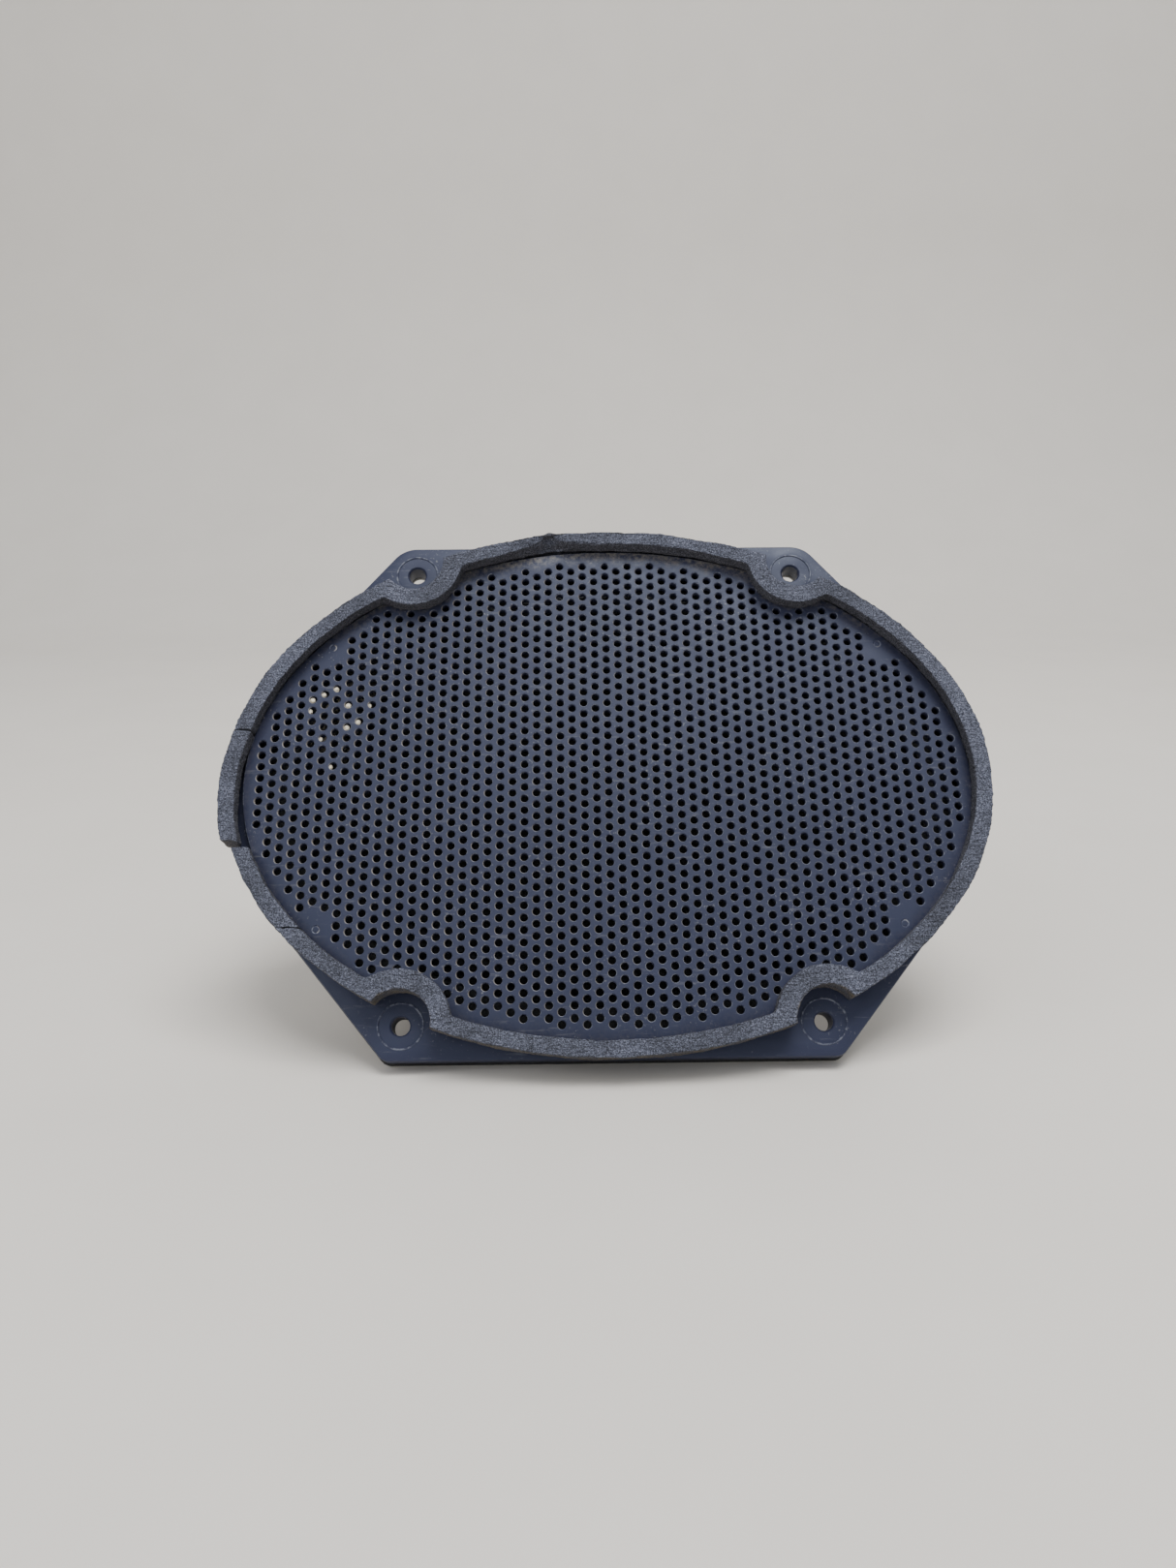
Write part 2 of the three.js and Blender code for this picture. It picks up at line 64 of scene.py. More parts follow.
# Face plate
FLANGE_HALF_HEIGHT = 79
FLANGE_SIDE = (110.8, 79)
CORNER_ANGLE = math.radians(50.2)
TOP_CORNER_RADIUS = 9
BOTTOM_CORNER_RADIUS = 4
PLATE_BACK = -6
FLANGE_BACK = -7.5
FLANGE_ROUND = 0.8
FLANGE_BACK_ROUND = 0.4
EAR = (58.5, 69.4)
SCREW_HOLE_RADIUS = 2.6
WASHER_RADIUS = 6.3
WASHER_RIDGE = 0.14
WASHER_DENT = -0.12
WASHER_MIDDLE = 4.4
LID = (106.2, 75)
LID_FRONT = 4
LID_BACK = 2
LID_WALL = 1.2
LID_ROUND = 0.4
POCKET_RADIUS = 12.2
STAKE = (82.5, 43)

# Perforation of the grille: columns that are staggered by half a pitch
PITCH = 3.5
HOLE_RADIUS = 1.12
HOLE_RIM_RADIUS = 1.4
HOLE_RIM_DEPTH = 0.12
HOLE_THROAT_DEPTH = 0.5
HOLE_MIDDLE_DEPTH = 1.1
HOLE_SLOPE = 0.08
HOLE_SIDES = 14
FIELD = (103, 71)
FIELD_POWER = 2.04
FIELD_EAR_CLEARANCE = 14.6
FIELD_STAKE_CLEARANCE = 5.2
PIN_MARK = [(1.25, 0), (1.05, -0.12), (0.9, -0.12), (0.7, -0.02)]

# Holes of the grille where light shows through, painted as a pale plug in each: column, row, and how far
# right of the hole's middle the plug lies
SEE_THROUGH_HOLES = [
    (-25, 15, -0.4),
    (-24, 16, -0.8),
    (-23, 17, -0.6),
    (-22, 14, -0.2),
    (-25, 13, -1.1),
    (-21, 11, -0.7),
    (-22, 10, -0.4),
    (-20, 14, -1.3),
    (-24, 8, -1.25),
    (-23, 3, -1.25),
]

# Foam gasket
FOAM_OUTSIDE = (111, 79.6)
FOAM_INSIDE = (105.3, 74.1)
FOAM_BULGE_RADIUS = 15
FOAM_CUTOUT_RADIUS = 8.6
FOAM_GAP = 0.3
FOAM_FRONT = 9.5
FOAM_VOXEL = 0.5
PATCH_TOP = 14.5
PATCH_BOTTOM = -19
PATCH_TURN = math.radians(-4.1)
BUTT_JOINT = -43
PATCH_GAP = 0.6
SOFTENING = 10
FOLD_X = -17
FOLD_WIDTH = 5
ROLLED_HALF_WIDTHS = (24, 36)
ROLLED_ABOVE = 55
STRIP_WIDTH = 5.5
STRETCH_SIDES = (-125, -70)
CUT_DEPTHS = (-20, 30)
CRACK_DEPTHS = (3, 30)

# How far the rolled stretch has moved outwards and backwards: all along it, and more at its fold
ROLL_OUTWARDS = (0.9, 4.2)
ROLL_BACKWARDS = (0.5, 1.3)

# Splits in the foam: where each starts and ends, how wide it is, and the seed of its ragged line
CRACKS = [
    ((-100, 62), (-88, 51.5), 1.3, 11),
    ((83, 70), (76.5, 60), 1.2, 12),
    ((-16, -70), (-11, -76.5), 1.6, 13),
    ((24, -84), (20, -77), 1.6, 14),
]

# Basket: each profile point is (long half axis, z). It is oval at its flange and round at its ledge
OVAL_SQUEEZE = 31
BASKET_LIP = 0.6
BASKET_FRONT = -6.3
BASKET_BACK = -7.5
LEDGE_RADIUS = 41.5
LEDGE_Z = -36.6
SEAT_RADIUS = 33.6
SEAT_Z = -46
SEAT_BACK = -47.6
SEAT_HOLE_RADIUS = 15.5
SHOULDER = (89.2, -13)
SHOULDER_BACK = (90.8, -14.2)
LEDGE_BACK = (42.2, -38.2)
OPENING = 92
OPENING_BACK = 93.6
FLARE_BACK = [(92.3, -11.4), (93.3, -8.8)]
WINDOWS = 12
WINDOW_RADII = (45, 83)
WINDOW_HALF_WIDTHS = (5.5, 9.5)
WINDOW_CORNERS = (3.5, 5)
WINDOW_CUT = (-41, -14)
TERMINAL_SPOKE = 3
BEAD_HEIGHT = 1.0
BEAD_HALF_WIDTH = 2.4
BEAD_START = (46, 52)
BEAD_END = (74, 82)
POST_RADIUS = 2.0
STAKE_HEAD = (3.6, 1.5)
STAKE_BOSS_RADIUS = 3.6
STAKE_BOSS_FRONT = -1

# Moving assembly
SURROUND_LIPS = (80, 95.2)
SURROUND_ROLL = (83, 92.2)
SURROUND_BASE = -5.3
SURROUND_HEIGHT = 3.6
SURROUND_THICKNESS = 0.7
TORN_PLACE = (-81, 23)
CONE_RIM = 83
CONE_SHELF = 80
CONE_NECK = 13
CONE_RIM_Z = -6.3
CONE_NECK_Z = -31
CONE_FLARE = 1.2
CONE_THICKNESS = 0.8
CONE_RIBS = (38, 50, 62, 72)
RIB_HEIGHT = 0.45
CAP_RADIUS = 17
CAP_HEIGHT = 6
CAP_THICKNESS = 0.6
FORMER_RADII = (12.4, 12.7)
FORMER_ENDS = (-55.25, -29.8)
WINDING_RADII = (12.9, 13.6)
WINDING_ENDS = (-54.65, -45.65)
WINDING_TURNS = 26
SPIDER_RADII = (13, 33, 39.5)
SPIDER_SEAT = -36.3
SPIDER_WAVES = 6
SPIDER_WAVE_HEIGHT = 1.2
SPIDER_THICKNESS = 0.55

# Motor
TOP_PLATE_RADII = (14.1, 34)
TOP_PLATE_ENDS = (-52.4, -47.9)
MAGNET_RADII = (17.5, 38.5)
MAGNET_ENDS = (-63.7, -52.7)
YOKE_RADIUS = 38.5
YOKE_ENDS = (-70, -64)
POLE_RADIUS = 12
POLE_FRONT = -46.6
RIVET_PLACE = (16.97, 16.97)
RIVET_HEAD = (3.2, 1.3)
RIVET_SHANK_RADIUS = 1.6
RIVET_ENDS = (-51.7, -45.7)

# Terminals, which lie on the sloping wall above the cone
TERMINAL_HALF = (11, 5.5)
TERMINAL_THICKNESS = 2.5
BLADE_X = 6.6
BLADE_ENDS = (-4.5, 13)
BLADE_THICKNESS = 0.8
BLADE_WIDTHS = {1: 6.3, -1: 4.8}
EYELET_RING = 35
EYELET_ANGLE = math.radians(70)
EYELET_RADIUS = 1.8
EYELET_HEIGHT = 1.4
EYELET_BEHIND_CONE = 1.2
STRANDS = 6
STRAND_RADIUS = 0.2
STRAND_CIRCLE = 0.38
STEPS_PER_TWIST = 15

# The way of the right-hand lead, up to its eyelet. It starts beside its blade, 2.4 mm off it
LEAD_ROUTE = [
    (6.8, 59.6, -25.2),
    (10, 61.4, -23.6),
    (15, 58.6, -23.4),
    (17.2, 52, -26),
    (15.6, 44, -28.5),
    (13, 32, -29.5),
]

# Camera, in the speaker's own frame
CAMERA_PLACE = (-10.16, -103.26, 317.64)
CAMERA_TILT = math.radians(18.056)
CAMERA_YAW = math.radians(0.518)
CAMERA_ROLL = math.radians(0.731)
CAMERA_LENS = 26.0


def speaker_place():
    """The speaker's own frame, from the backs of its four ears, which lie round its middle."""
    mounts = {m["name"]: m for m in frame["record"]["mounts"]}
    backs = [Vector(m["pos_m"]) for name, m in mounts.items() if name.startswith("ear_back")]
    outward = Vector(mounts["gasket_front"]["axis"]).normalized()
    centre = sum(backs, Vector()) / len(backs) - outward * FLANGE_BACK * MM
    across = Vector((1, 0, 0))
    axes = Matrix((across, outward.cross(across), outward)).transposed()
    return Matrix.Translation(centre) @ axes.to_4x4()


SPEAKER = speaker_place()


# ---- Outlines, as lists of (x, y) going round counterclockwise ----


def circle(x, y, radius, steps):
    turns = [2 * math.pi * i / steps for i in range(steps)]
    return [(x + radius * math.cos(t), y + radius * math.sin(t)) for t in turns]


def arc(x, y, a, b, start, end, steps):
    turns = [start + (end - start) * i / steps for i in range(steps + 1)]
    return [(x + a * math.cos(t), y + b * math.sin(t)) for t in turns]


def four_times(place):
    x, y = place
    return [(x, y), (-x, y), (-x, -y), (x, -y)]


def bitten_oval(half_axes, radius, long_steps=70, bite_steps=36):
    """An oval with a round bite of this radius taken out at each screw."""
    a, b = half_axes

    def on_oval(t):
        return Vector((a * math.cos(t), b * math.sin(t)))

    def crossing(outside, inside):
        for _ in range(40):
            middle = (outside + inside) / 2
            if (on_oval(middle) - Vector(EAR)).length > radius:
                outside = middle
            else:
                inside = middle
        return outside

    def bite(enter, leave, centre):
        first = on_oval(enter) - Vector(centre)
        last = on_oval(leave) - Vector(centre)
        start = math.atan2(first.y, first.x)
        end = start - first.angle_signed(last) % (2 * math.pi)
        return arc(*centre, radius, radius, start, end, bite_steps)[1:-1]

    towards_ear = math.atan2(EAR[1] / b, EAR[0] / a)
    low = crossing(0, towards_ear)
    high = crossing(math.pi / 2, towards_ear)
    upper_right, upper_left, lower_left, lower_right = four_times(EAR)
    return [
        *arc(0, 0, a, b, -low, low, long_steps),
        *bite(low, high, upper_right),
        *arc(0, 0, a, b, high, math.pi - high, long_steps),
        *bite(math.pi - high, math.pi - low, upper_left),
        *arc(0, 0, a, b, math.pi - low, math.pi + low, long_steps),
        *bite(math.pi + low, math.pi + high, lower_left),
        *arc(0, 0, a, b, math.pi + high, 2 * math.pi - high, long_steps),
        *bite(2 * math.pi - high, 2 * math.pi - low, lower_right),
    ]


def lid_outline(grow=0.0):
    return bitten_oval((LID[0] + grow, LID[1] + grow), POCKET_RADIUS - grow)


def flange_outline(grow=0.0):
    """Oval sides, straight slanted edges that leave them as tangents, straight top and bottom."""
    a = FLANGE_SIDE[0] + grow
    b = FLANGE_SIDE[1] + grow
    top = FLANGE_HALF_HEIGHT + grow
    slope = math.tan(CORNER_ANGLE)
    side = math.atan2(b, slope * a)
    corner_x = (math.hypot(slope * a, b) - top) / slope

    def corner(sign_x, sign_y, radius, start):
        x = sign_x * (corner_x - radius * math.tan(CORNER_ANGLE / 2))
        y = sign_y * (top - radius)
        return arc(x, y, radius, radius, start, start + CORNER_ANGLE, 10)

    return [
        *arc(0, 0, a, b, -side, side, 40),
        *corner(1, 1, TOP_CORNER_RADIUS, math.pi / 2 - CORNER_ANGLE),
        *corner(-1, 1, TOP_CORNER_RADIUS, math.pi / 2),
        *arc(0, 0, a, b, math.pi - side, math.pi + side, 40),
        *corner(-1, -1, BOTTOM_CORNER_RADIUS, 1.5 * math.pi - CORNER_ANGLE),
        *corner(1, -1, BOTTOM_CORNER_RADIUS, 1.5 * math.pi),
    ]


def inset(outline, distance):
    """The outline moved inwards by this distance, point by point."""
    points = np.array(outline, float)
    before = points - np.roll(points, 1, axis=0)
    after = np.roll(points, -1, axis=0) - points
    before /= np.linalg.norm(before, axis=1)[:, None]
    after /= np.linalg.norm(after, axis=1)[:, None]
    inward_before = np.stack([-before[:, 1], before[:, 0]], axis=1)
    inward_after = np.stack([-after[:, 1], after[:, 0]], axis=1)
    mitre = inward_before + inward_after
    mitre /= np.maximum((mitre * inward_before).sum(axis=1), 0.7)[:, None]
    return [tuple(p) for p in points + mitre * distance]


def rounded(corners, steps=4):
    """A closed outline whose corners are rounded: each is (x, y, how far the rounding reaches)."""
    outline = []
    for i, (x, y, reach) in enumerate(corners):
        corner = Vector((x, y))
        before = (Vector(corners[i - 1][:2]) - corner).normalized() * reach
        after = (Vector(corners[(i + 1) % len(corners)][:2]) - corner).normalized() * reach
        shares = [step / steps for step in range(steps + 1)] if reach else [0]
        outline += [tuple(corner + before * (1 - t) ** 2 + after * t * t) for t in shares]
    return outline


def no_squeeze(radius):
    return 0


def rim_squeeze(radius):
    return OVAL_SQUEEZE


def basket_squeeze(radius):
    return OVAL_SQUEEZE * min(max((radius - LEDGE_RADIUS) / (OPENING - LEDGE_RADIUS), 0), 1)


def cone_squeeze(radius):
    return OVAL_SQUEEZE * max(radius - CONE_NECK, 0) / (CONE_RIM - CONE_NECK)


def squeezed_circle(radius, squeeze, steps):
    """A circle that is shorter along Y: squeeze gives by how much, for a circle of this radius."""
    return [(radius * c, (radius - squeeze(radius)) * s) for c, s in circle(0, 0, 1, steps)]


# ---- Closed surfaces from rings, walls and flat fills ----


class Shell:
    """A closed surface in millimetres, put together from rings of points."""

    def __init__(self):
        self.points = []
        self.faces = []

    def ring(self, outline, z):
        start = len(self.points)
        self.points += [(x, y, z) for x, y in outline]
        return list(range(start, len(self.points)))

    def wall(self, first, second):
        """Joins two rings of equal count. It faces outwards if first is the further back."""
        count = len(first)
        for i in range(count):
            j = (i + 1) % count
            self.faces.append((first[i], first[j], second[j], second[i]))

    def walls(self, *rings):
        for first, second in zip(rings, rings[1:]):
            self.wall(first, second)

    def fill(self, outer, holes=(), forwards=True):
        """A flat face inside the outer ring and outside the holes."""
        rings = [outer, *holes]
        order = [index for ring in rings for index in ring]
        flat = [Vector(self.points[index][:2]) for index in order]
        loops = []
        start = 0
        for ring in rings:
            loops.append(list(range(start, start + len(ring))))
            start += len(ring)
        _, _, triangles, came_from, _, lies_in = geometry.delaunay_2d_cdt(flat, [], loops, 0, 1e-7, True)
        for triangle, loops_round_it in zip(triangles, lies_in):
            if list(loops_round_it) == [0]:
                face = tuple(order[came_from[v][0]] for v in triangle)
                self.faces.append(face if forwards else face[::-1])

    def tube(self, profile, steps, x=0, y=0):
        """Round rings about (x, y), one for each (radius, z) of the profile, each joined to the next."""
        rings = [self.ring(circle(x, y, radius, steps), z) for radius, z in profile]
        self.walls(*rings)
        return rings

    def closed(self, *rings):
        """Joined rings, from the back one to the front one, with a flat face at each end."""
        self.fill(rings[0], forwards=False)
        self.walls(*rings)
        self.fill(rings[-1])

    def piece(self, name, smooth_angle=35):
        return new_piece(name, self.points, self.faces, smooth_angle)


def added(name, data):
    """A new object of the scene that shows this data."""
    thing = bpy.data.objects.new(name, data)
    bpy.context.scene.collection.objects.link(thing)
    return thing


def new_piece(name, points, faces, smooth_angle):
    """A mesh object in metres, in the speaker's own frame."""
    mesh = bpy.data.meshes.new(name)
    mesh.from_pydata([(x * MM, y * MM, z * MM) for x, y, z in points], [], faces)
    mesh.update()
    piece = added(name, mesh)
    piece.matrix_world = SPEAKER
    smooth(piece, smooth_angle)
    return piece


def smooth(piece, angle):
    mesh = piece.data
    mesh.polygons.foreach_set("use_smooth", [True] * len(mesh.polygons))
    mesh.set_sharp_from_angle(angle=math.radians(angle))


def apply_modifiers(piece):
    evaluated = piece.evaluated_get(bpy.context.evaluated_depsgraph_get())
    piece.data = bpy.data.meshes.new_from_object(evaluated)
    piece.data.name = piece.name
    piece.modifiers.clear()


def boolean(piece, tool, operation):
    modifier = piece.modifiers.new("boolean", "BOOLEAN")
    modifier.operation = operation
    modifier.solver = "EXACT"
    modifier.object = tool
    apply_modifiers(piece)
    bpy.data.objects.remove(tool)


def merge_close_points(piece):
    """Closes the slivers that a boolean leaves where two surfaces nearly meet."""
    mesh = bmesh.new()
    mesh.from_mesh(piece.data)
    bmesh.ops.triangulate(mesh, faces=mesh.faces)
    bmesh.ops.remove_doubles(mesh, verts=mesh.verts, dist=SLIVER * MM)
    bmesh.ops.dissolve_degenerate(mesh, edges=mesh.edges, dist=SLIVER * MM)
    mesh.to_mesh(piece.data)
    mesh.free()


def points_of(piece):
    return np.array([v.co for v in piece.data.vertices], float) / MM


def set_points(piece, points):
    piece.data.vertices.foreach_set("co", (points * MM).astype(np.float32).ravel())
    piece.data.update()


def normals_of(piece):
    return np.array([v.normal for v in piece.data.vertices], float)


def lumps(points, size, shift=(0, 0, 0)):
    """Smooth noise at each point, with lumps of about this size."""
    return np.array([noise.noise(Vector(p) / size + Vector(shift)) for p in points])


def smooth_step(value, low, high):
    """0 below low and 1 above high, with a smooth rise between them."""
    t = np.clip((value - low) / (high - low), 0, 1)
    return t * t * (3 - 2 * t)


def add_attribute(piece, name, values):
    attribute = piece.data.attributes.new(name, "FLOAT", "POINT")
    attribute.data.foreach_set("value", np.asarray(values, np.float32))


def prism(name, outline, back, front):
    shell = Shell()
    shell.closed(shell.ring(outline, back), shell.ring(outline, front))
    return shell.piece(name)


def turned(name, profile, steps=96, squeeze=no_squeeze, smooth_angle=35):
    """A counterclockwise profile of (radius, z) points turned about Z, as a ring."""
    shell = Shell()
    rings = [shell.ring(squeezed_circle(radius, squeeze, steps), z) for radius, z in profile]
    shell.walls(*rings, rings[0])
    return shell.piece(name, smooth_angle)


def turned_solid(name, profile, steps=96, squeeze=no_squeeze, smooth_angle=35):
    """The same for a profile whose two ends are closed by flat faces across the axis."""
    shell = Shell()
    add_turned_solid(shell, profile, steps, squeeze)
    return shell.piece(name, smooth_angle)


def add_turned_solid(shell, profile, steps, squeeze=no_squeeze, centre=(0, 0)):
    outlines = [squeezed_circle(radius, squeeze, steps) for radius, _ in profile]
    outlines = [[(x + centre[0], y + centre[1]) for x, y in outline] for outline in outlines]
    shell.closed(*[shell.ring(outline, z) for outline, (_, z) in zip(outlines, profile)])


# ---- Face plate ----


def grille_holes():
    """The middles of the perforation's holes."""
    across = int(FIELD[0] / PITCH) + 1
    up = int(2 * FIELD[1] / PITCH) + 1
    places = []
    for column in range(-across, across + 1):
        for row in range(-up, up + 1):
            x = column * PITCH
            y = row * PITCH / 2
            in_field = abs(x / FIELD[0]) ** FIELD_POWER + abs(y / FIELD[1]) ** FIELD_POWER <= 1
            off_ear = math.hypot(abs(x) - EAR[0], abs(y) - EAR[1]) > FIELD_EAR_CLEARANCE
            off_stake = math.hypot(abs(x) - STAKE[0], abs(y) - STAKE[1]) > FIELD_STAKE_CLEARANCE
            if (row - column) % 2 == 0 and in_field and off_ear and off_stake:
                places.append((x, y))
    return places


def grille_hole(shell, x, y):
    """One hole with its rounded front rim. Gives the rings at the grille's front and back."""
    profile = [
        (HOLE_RIM_RADIUS, LID_FRONT),
        (HOLE_RADIUS + HOLE_SLOPE, LID_FRONT - HOLE_RIM_DEPTH),
        (HOLE_RADIUS, LID_FRONT - HOLE_THROAT_DEPTH),
        (HOLE_RADIUS, LID_FRONT - HOLE_MIDDLE_DEPTH),
        (HOLE_RADIUS, LID_BACK),
    ]
    rings = shell.tube(profile, HOLE_SIDES, x, y)
    return rings[0], rings[-1]


def pin_mark(shell, x, y):
    """The round mark that an ejector pin left in the grille's front. Gives its outer ring."""
    rings = shell.tube([(radius, LID_FRONT + z) for radius, z in PIN_MARK], 24, x, y)
    shell.fill(rings[-1])
    return rings[0]


def screw_hole(shell, x, y):
    """A screw hole with the ring that a washer pressed into the ear. Gives its front and back rings."""
    profile = [
        (WASHER_RADIUS + 0.35, 0),
        (WASHER_RADIUS + 0.15, WASHER_RIDGE),
        (WASHER_RADIUS - 0.1, WASHER_RIDGE),
        (WASHER_RADIUS - 0.35, WASHER_DENT),
        (WASHER_MIDDLE, WASHER_DENT / 2),
        (SCREW_HOLE_RADIUS + 0.45, WASHER_DENT),
        (SCREW_HOLE_RADIUS, -0.6),
        (SCREW_HOLE_RADIUS, PLATE_BACK),
    ]
    rings = shell.tube(profile, 48, x, y)
    return rings[0], rings[-1]


def face_plate():
    """The plate with its raised lid, perforated grille, screw ears and stakes, and pale plugs painted into
    some holes as the light that shows through them.
    """
    shell = Shell()
    holes = [grille_hole(shell, x, y) for x, y in grille_holes()]
    pins = [pin_mark(shell, x, y) for x, y in four_times(STAKE)]
    screws = [screw_hole(shell, x, y) for x, y in four_times(EAR)]

    inside = lid_outline(-LID_WALL)
    lid_top = shell.ring(lid_outline(-LID_ROUND), LID_FRONT)
    lid_round = shell.ring(lid_outline(-0.3 * LID_ROUND), LID_FRONT - 0.3 * LID_ROUND)
    lid_edge = shell.ring(lid_outline(), LID_FRONT - LID_ROUND)
    lid_foot = shell.ring(lid_outline(), 0)
    shell.fill(lid_top, [front for front, _ in holes] + pins)
    shell.walls(lid_foot, lid_edge, lid_round, lid_top)

    flange = flange_outline()
    front_edge = shell.ring(inset(flange, FLANGE_ROUND), 0)
    front_round = shell.ring(inset(flange, 0.3 * FLANGE_ROUND), -0.3 * FLANGE_ROUND)
    front_side = shell.ring(flange, -FLANGE_ROUND)
    back_side = shell.ring(flange, PLATE_BACK + FLANGE_BACK_ROUND)
    back_edge = shell.ring(inset(flange, FLANGE_BACK_ROUND), PLATE_BACK)
    shell.fill(front_edge, [lid_foot] + [front for front, _ in screws])
    shell.walls(back_edge, back_side, front_side, front_round, front_edge)

    hollow_mouth = shell.ring(inside, PLATE_BACK)
    hollow_end = shell.ring(inside, LID_BACK)
    shell.fill(back_edge, [hollow_mouth] + [back for _, back in screws], forwards=False)
    shell.wall(hollow_end, hollow_mouth)
    shell.fill(hollow_end, [back for _, back in holes], forwards=False)
    for place in four_times(STAKE):
        stake(shell, place)
    # Pale plugs in some holes: painted light, where light shows through them
    first_see_through = len(shell.points)
    for number, hole in enumerate(SEE_THROUGH_HOLES):
        see_through_light(shell, *hole, number)
    plate = shell.piece("face_plate_moulding", 25)
    add_wear_and_painted_highlights(plate)
    add_attribute(plate, "see_through_light", np.arange(len(shell.points)) >= first_see_through)
    return plate


def see_through_light(shell, column, row, off_middle, seed):
    """A pale plug in one hole of the grille: painted light, where light shows through the hole."""
    x = column * PITCH + off_middle
    y = row * PITCH / 2
    profile = [
        (0.9, LID_BACK + 0.2),
        (0.95, LID_FRONT - 1.1),
        (0.7, LID_FRONT - 0.75),
        (0.3, LID_FRONT - 0.6),
    ]
    start = len(shell.points)
    add_turned_solid(shell, profile, 12, centre=(x, y))
    for index in range(start, len(shell.points)):
        place = Vector(shell.points[index])
        lump = noise.noise(place / 0.5 + Vector((seed, 0, 0)))
        shell.points[index] = tuple(place + Vector((0.12 * lump, -0.12 * lump, 0.3 * lump)))


def stake(shell, place):
    """A boss and a post behind the plate, whose end is melted into a round head behind the basket."""
    corners = [
        (0.5, PLATE_BACK, 0),
        (STAKE_BOSS_RADIUS, PLATE_BACK, 0.2),
        (STAKE_BOSS_RADIUS, STAKE_BOSS_FRONT, 0.4),
        (0.5, STAKE_BOSS_FRONT, 0),
    ]
    boss = rounded(corners)
    add_turned_solid(shell, boss, 32, centre=place)
    radius, thickness = STAKE_HEAD
    front = BASKET_BACK - 0.3
    head = arc(0, front - 0.3, radius, thickness - 0.3, -math.pi / 2 + 0.1, 0, 8)
    post = [(radius - 0.2, front), (POST_RADIUS, front), (POST_RADIUS, PLATE_BACK + 0.5)]
    add_turned_solid(shell, head + post, 32, centre=place)


def add_wear_and_painted_highlights(plate):
    """Where the plastic is pale: a painted highlight, with some wear, on the rounded edge of each hole, and a
    scuff where a washer pressed on it.
    A painted highlight lies in the lower left of each hole's mouth, where its wall faces the light, stronger
    towards the left of the grille.
    Dust lies along the lid's edge beside the foam."""
    x, y, z = points_of(plate).T
    rim = np.isclose(z, LID_FRONT - HOLE_RIM_DEPTH, atol=0.01)
    throat = np.isclose(z, LID_FRONT - HOLE_THROAT_DEPTH, atol=0.01)
    column = np.round(x / PITCH)
    off_x = x - column * PITCH
    off_y = (y - column * PITCH / 2 + PITCH / 2) % PITCH - PITCH / 2
    lower_left = np.clip((-0.85 * off_x - 0.5 * off_y) / HOLE_RADIUS, 0, 1)
    in_field = np.hypot(x / FIELD[0], y / FIELD[1]) < 1.01
    # dust here holds a painted highlight: the lit lower-left crescent of each hole's mouth, stronger towards
    # the left of the grille
    dust = (0.4 * rim + throat) * in_field * lower_left * (0.3 + 0.5 * smooth_step(-x, -70, 60))
    # Pale on each hole's rounded rim: a painted highlight, with some wear. Pale on the washer ring: a scuff
    add_attribute(plate, "wear_and_rim_highlight", 1.0 * rim + 0.8 * np.isclose(z, WASHER_RIDGE, atol=0.01))
    add_attribute(plate, "hole_crescent_highlight", dust)
    on_front = np.isclose(z, LID_FRONT, atol=0.001)
    lid_edge = {(round(px, 3), round(py, 3)) for px, py in lid_outline(-LID_ROUND)}
    on_edge = [(round(px, 3), round(py, 3)) in lid_edge for px, py in zip(x, y)]
    add_attribute(plate, "edge_dust", on_front * on_edge * (0.12 + 0.88 * smooth_step(y, 35, 72)))


# ---- Foam gasket ----


def foam_ring():
    """The whole strip, before it split: cut round each screw, and rabbeted to sit over the lid's edge."""
    shell = Shell()
    outside = bitten_oval(FOAM_OUTSIDE, FOAM_CUTOUT_RADIUS)
    inside = bitten_oval(FOAM_INSIDE, FOAM_BULGE_RADIUS)
    lid = lid_outline(FOAM_GAP)
    outer_back = shell.ring(outside, FOAM_GAP)
    outer_front = shell.ring(outside, FOAM_FRONT)
    inner_front = shell.ring(inside, FOAM_FRONT)
    inner_step = shell.ring(inside, LID_FRONT + FOAM_GAP)
    lid_step = shell.ring(lid, LID_FRONT + FOAM_GAP)
    lid_foot = shell.ring(lid, FOAM_GAP)
    shell.wall(outer_back, outer_front)
    shell.wall(inner_front, inner_step)
    shell.wall(lid_step, lid_foot)
    shell.fill(outer_front, [inner_front])
    shell.fill(lid_step, [inner_step], forwards=False)
    shell.fill(outer_back, [lid_foot], forwards=False)
    return shell.piece("foam_ring")


def ragged_line(start, end, bends, wander, seed):
    """Points from start to end that wander off the straight line."""
    rng = random.Random(seed)
    start = Vector(start)
    along = Vector(end) - start
    across = Vector((-along.y, along.x)).normalized()
    points = [start + along * (i / bends) for i in range(bends + 1)]
    return [p + across * rng.uniform(-wander, wander) for p in points]


def left_stretch(bottom, top, seed):
    """A block that takes in the left-hand stretch of the strip, with ragged ends."""
    left, right = STRETCH_SIDES
    lower = ragged_line((left, bottom), (right, bottom), 40, 0.25, seed)
    upper = ragged_line((right, top), (left, top), 40, 0.25, seed + 1)
    return prism("stretch", [tuple(p) for p in lower + upper], *CUT_DEPTHS)


def crack(start, end, width, seed):
    """A wedge-shaped split in the foam, widest at its start."""
    one_side = ragged_line(start, end, 6, 0.3, seed)
    along = (Vector(end) - Vector(start)).normalized()
    across = Vector((-along.y, along.x))
    count = len(one_side) - 1
    other_side = [p + across * width * (1 - i / count) for i, p in enumerate(one_side)]
    outline = one_side + other_side[:-1][::-1]
    return prism("crack", [tuple(p) for p in outline][::-1], *CRACK_DEPTHS)


